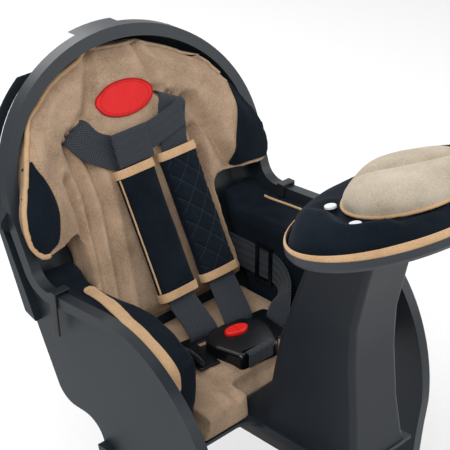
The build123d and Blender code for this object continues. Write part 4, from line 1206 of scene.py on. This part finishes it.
SLOT_TURN = math.radians(28)
SLOT_X, SLOT_UP = 71, 285
BEHIND_SHELL, BEFORE_SLOT = -9.7, 30
STRAP_BENDS = {"right": ((-36, 250, 34.5), 50), "left": ((54, 249, 34.5), -11.5)}
PAD_REACH = 79
TONGUE_AT = (24, 37)
TONGUE_TOP, TONGUE_FOOT = 56.1, 47.8
BELT_AT = (58, 10)
BELT_TOP, BELT_FOOT = 54.1, 47.9
BELT_X, BELT_Z = 109.5, 84


def back_way(x, up, out):
    """A direction by its shares across the back, up its slope and out."""
    return on_back(x, up, out) - on_back(0, 0, 0)


def shoulder_route(side, pad_x, bend, bend_turn):
    """A shoulder strap from its anchor through the slot and the pad to the buckle's tongue."""
    over = back_way(math.cos(SLOT_TURN), -side * math.sin(SLOT_TURN), 0)
    down = back_way(-side * math.sin(SLOT_TURN), -math.cos(SLOT_TURN), 0)
    turn = math.radians(bend_turn)
    across = on_buckle(1, 0, 0) - on_buckle(0, 0, 0)
    tongue_x, tongue_y = side * TONGUE_AT[0], TONGUE_AT[1]
    behind = on_back(side * SLOT_X, SLOT_UP, BEHIND_SHELL)
    before = on_back(side * SLOT_X, SLOT_UP, BEFORE_SLOT)
    return [
        (behind - down * 24, over),
        (behind, over),
        (before, over),
        (before + down * 22, over),
        (on_back(*bend), back_way(math.cos(turn), math.sin(turn), 0)),
        (pad_point(pad_x, PAD_REACH), ACROSS),
        (pad_point(pad_x, -PAD_REACH), ACROSS),
        (on_buckle(tongue_x, tongue_y, TONGUE_TOP), across),
        (on_buckle(tongue_x, tongue_y, TONGUE_FOOT), across),
    ]


def waist_route(side):
    """A waist belt from behind the back, between cushion and bolster, to the tongue's slot."""
    hole_x, hole_y = side * BELT_AT[0], BELT_AT[1]
    hole = on_buckle(hole_x, hole_y, BELT_TOP)
    buckle_up = on_buckle(0, 1, 0) - on_buckle(0, 0, 0)
    places = (
        (Vector((side * BELT_X, 146, BELT_Z)) * MM, 0),
        (Vector((side * BELT_X, 46, BELT_Z)) * MM, 0),
        (Vector((side * 101, 24, 76)) * MM, 30),
        (hole + Vector((side * 16, 10, 12)) * MM, 60),
        (hole, 85),
        (on_buckle(hole_x, hole_y, BELT_FOOT), 90),
    )
    stations = []
    for place, degrees in places:
        turn = math.radians(degrees)
        over = buckle_up.normalized() * (side * math.sin(turn)) - UP * (side * math.cos(turn))
        stations.append((place, over))
    return stations


for hand, side in SIDES:
    route = shoulder_route(side, PAD_PLACES[hand], *STRAP_BENDS[hand])
    webbing(f"shoulder_strap_{hand}", route, reach=12)
for hand, side in SIDES:
    webbing(f"waist_strap_{hand}", waist_route(side))

YOKE_LINE = ((72, 264, 37), (20, 253, 38.2), (-32, 253, 38.4))
CROTCH_LINE = ((-15, 4.3), (-28, 4.3), (-28, 63), (-35.4, 63), (-35.4, 46.5))
webbing("yoke_strap", [(on_back(*p), back_way(0.1, 1, 0)) for p in YOKE_LINE], width=30)
webbing("crotch_strap", [(on_buckle(0, y, z), ACROSS) for y, z in CROTCH_LINE], reach=3)
sleeve = [(on_back(x, 250, 40.8), back_way(0, 1, 0)) for x in (-37, -12, 13)]
webbing("yoke_sleeve", sleeve, thick=3.2)

# Studio

FLOOR_Z = -0.2815
LAMPS = (
    ("key", (-1.6, -0.9, 2.2), 1.6, 42),
    ("fill", (1.9, -1.6, 1.3), 1.8, 22),
    ("rim", (0.6, 1.9, 1.9), 1.4, 34),
)
LENS_MM, SENSOR_MM = 121.2, 36
CAMERA_AIM = Vector((0, 0.020, 0.195))
CAMERA_AWAY = 1.6
CAMERA_TURN, CAMERA_RISE = math.radians(45), math.radians(29)


def studio():
    """A pale floor, soft lamps and a camera at the photograph's angle."""
    scene = bpy.context.scene
    scene.view_settings.view_transform = "Standard"
    bpy.ops.mesh.primitive_plane_add(size=12, location=(0, 0, FLOOR_Z))
    floor = bpy.context.object
    floor.name = "studio_floor"
    pale = bpy.data.materials.new("pale floor")
    pale.use_nodes = True
    shader = pale.node_tree.nodes["Principled BSDF"]
    shader.inputs["Base Color"].default_value = (0.86, 0.86, 0.86, 1)
    shader.inputs["Roughness"].default_value = 0.9
    floor.data.materials.append(pale)
    world = bpy.data.worlds.new("studio")
    scene.world = world
    world.use_nodes = True
    tree = world.node_tree
    back = tree.nodes["Background"]
    back.inputs["Color"].default_value = (1, 1, 1, 1)
    path = tree.nodes.new("ShaderNodeLightPath")
    seen = math_in(tree, "MAXIMUM", path.outputs["Is Camera Ray"], path.outputs["Is Glossy Ray"])
    seen = math_in(tree, "MAXIMUM", seen, path.outputs["Is Transmission Ray"])
    level = math_in(tree, "MULTIPLY_ADD", seen, 0.45, 0.55)
    tree.links.new(level, back.inputs["Strength"])
    for name, place, size, power in LAMPS:
        lamp = bpy.data.lights.new(name, "AREA")
        lamp.size = size
        lamp.energy = power
        obj = new_piece(name, lamp)
        obj.location = place
        aim = Vector((0, 0, 0.1)) - Vector(place)
        obj.rotation_euler = aim.to_track_quat("-Z", "Y").to_euler()
    lens = bpy.data.cameras.new("camera")
    lens.lens = LENS_MM
    lens.sensor_width = SENSOR_MM
    camera = new_piece("camera", lens)
    level_way = Vector((-math.sin(CAMERA_TURN), -math.cos(CAMERA_TURN), 0))
    way = level_way * math.cos(CAMERA_RISE) + UP * math.sin(CAMERA_RISE)
    camera.location = CAMERA_AIM + way * CAMERA_AWAY
    camera.rotation_euler = (-way).to_track_quat("-Z", "Y").to_euler()
    scene.camera = camera


studio()
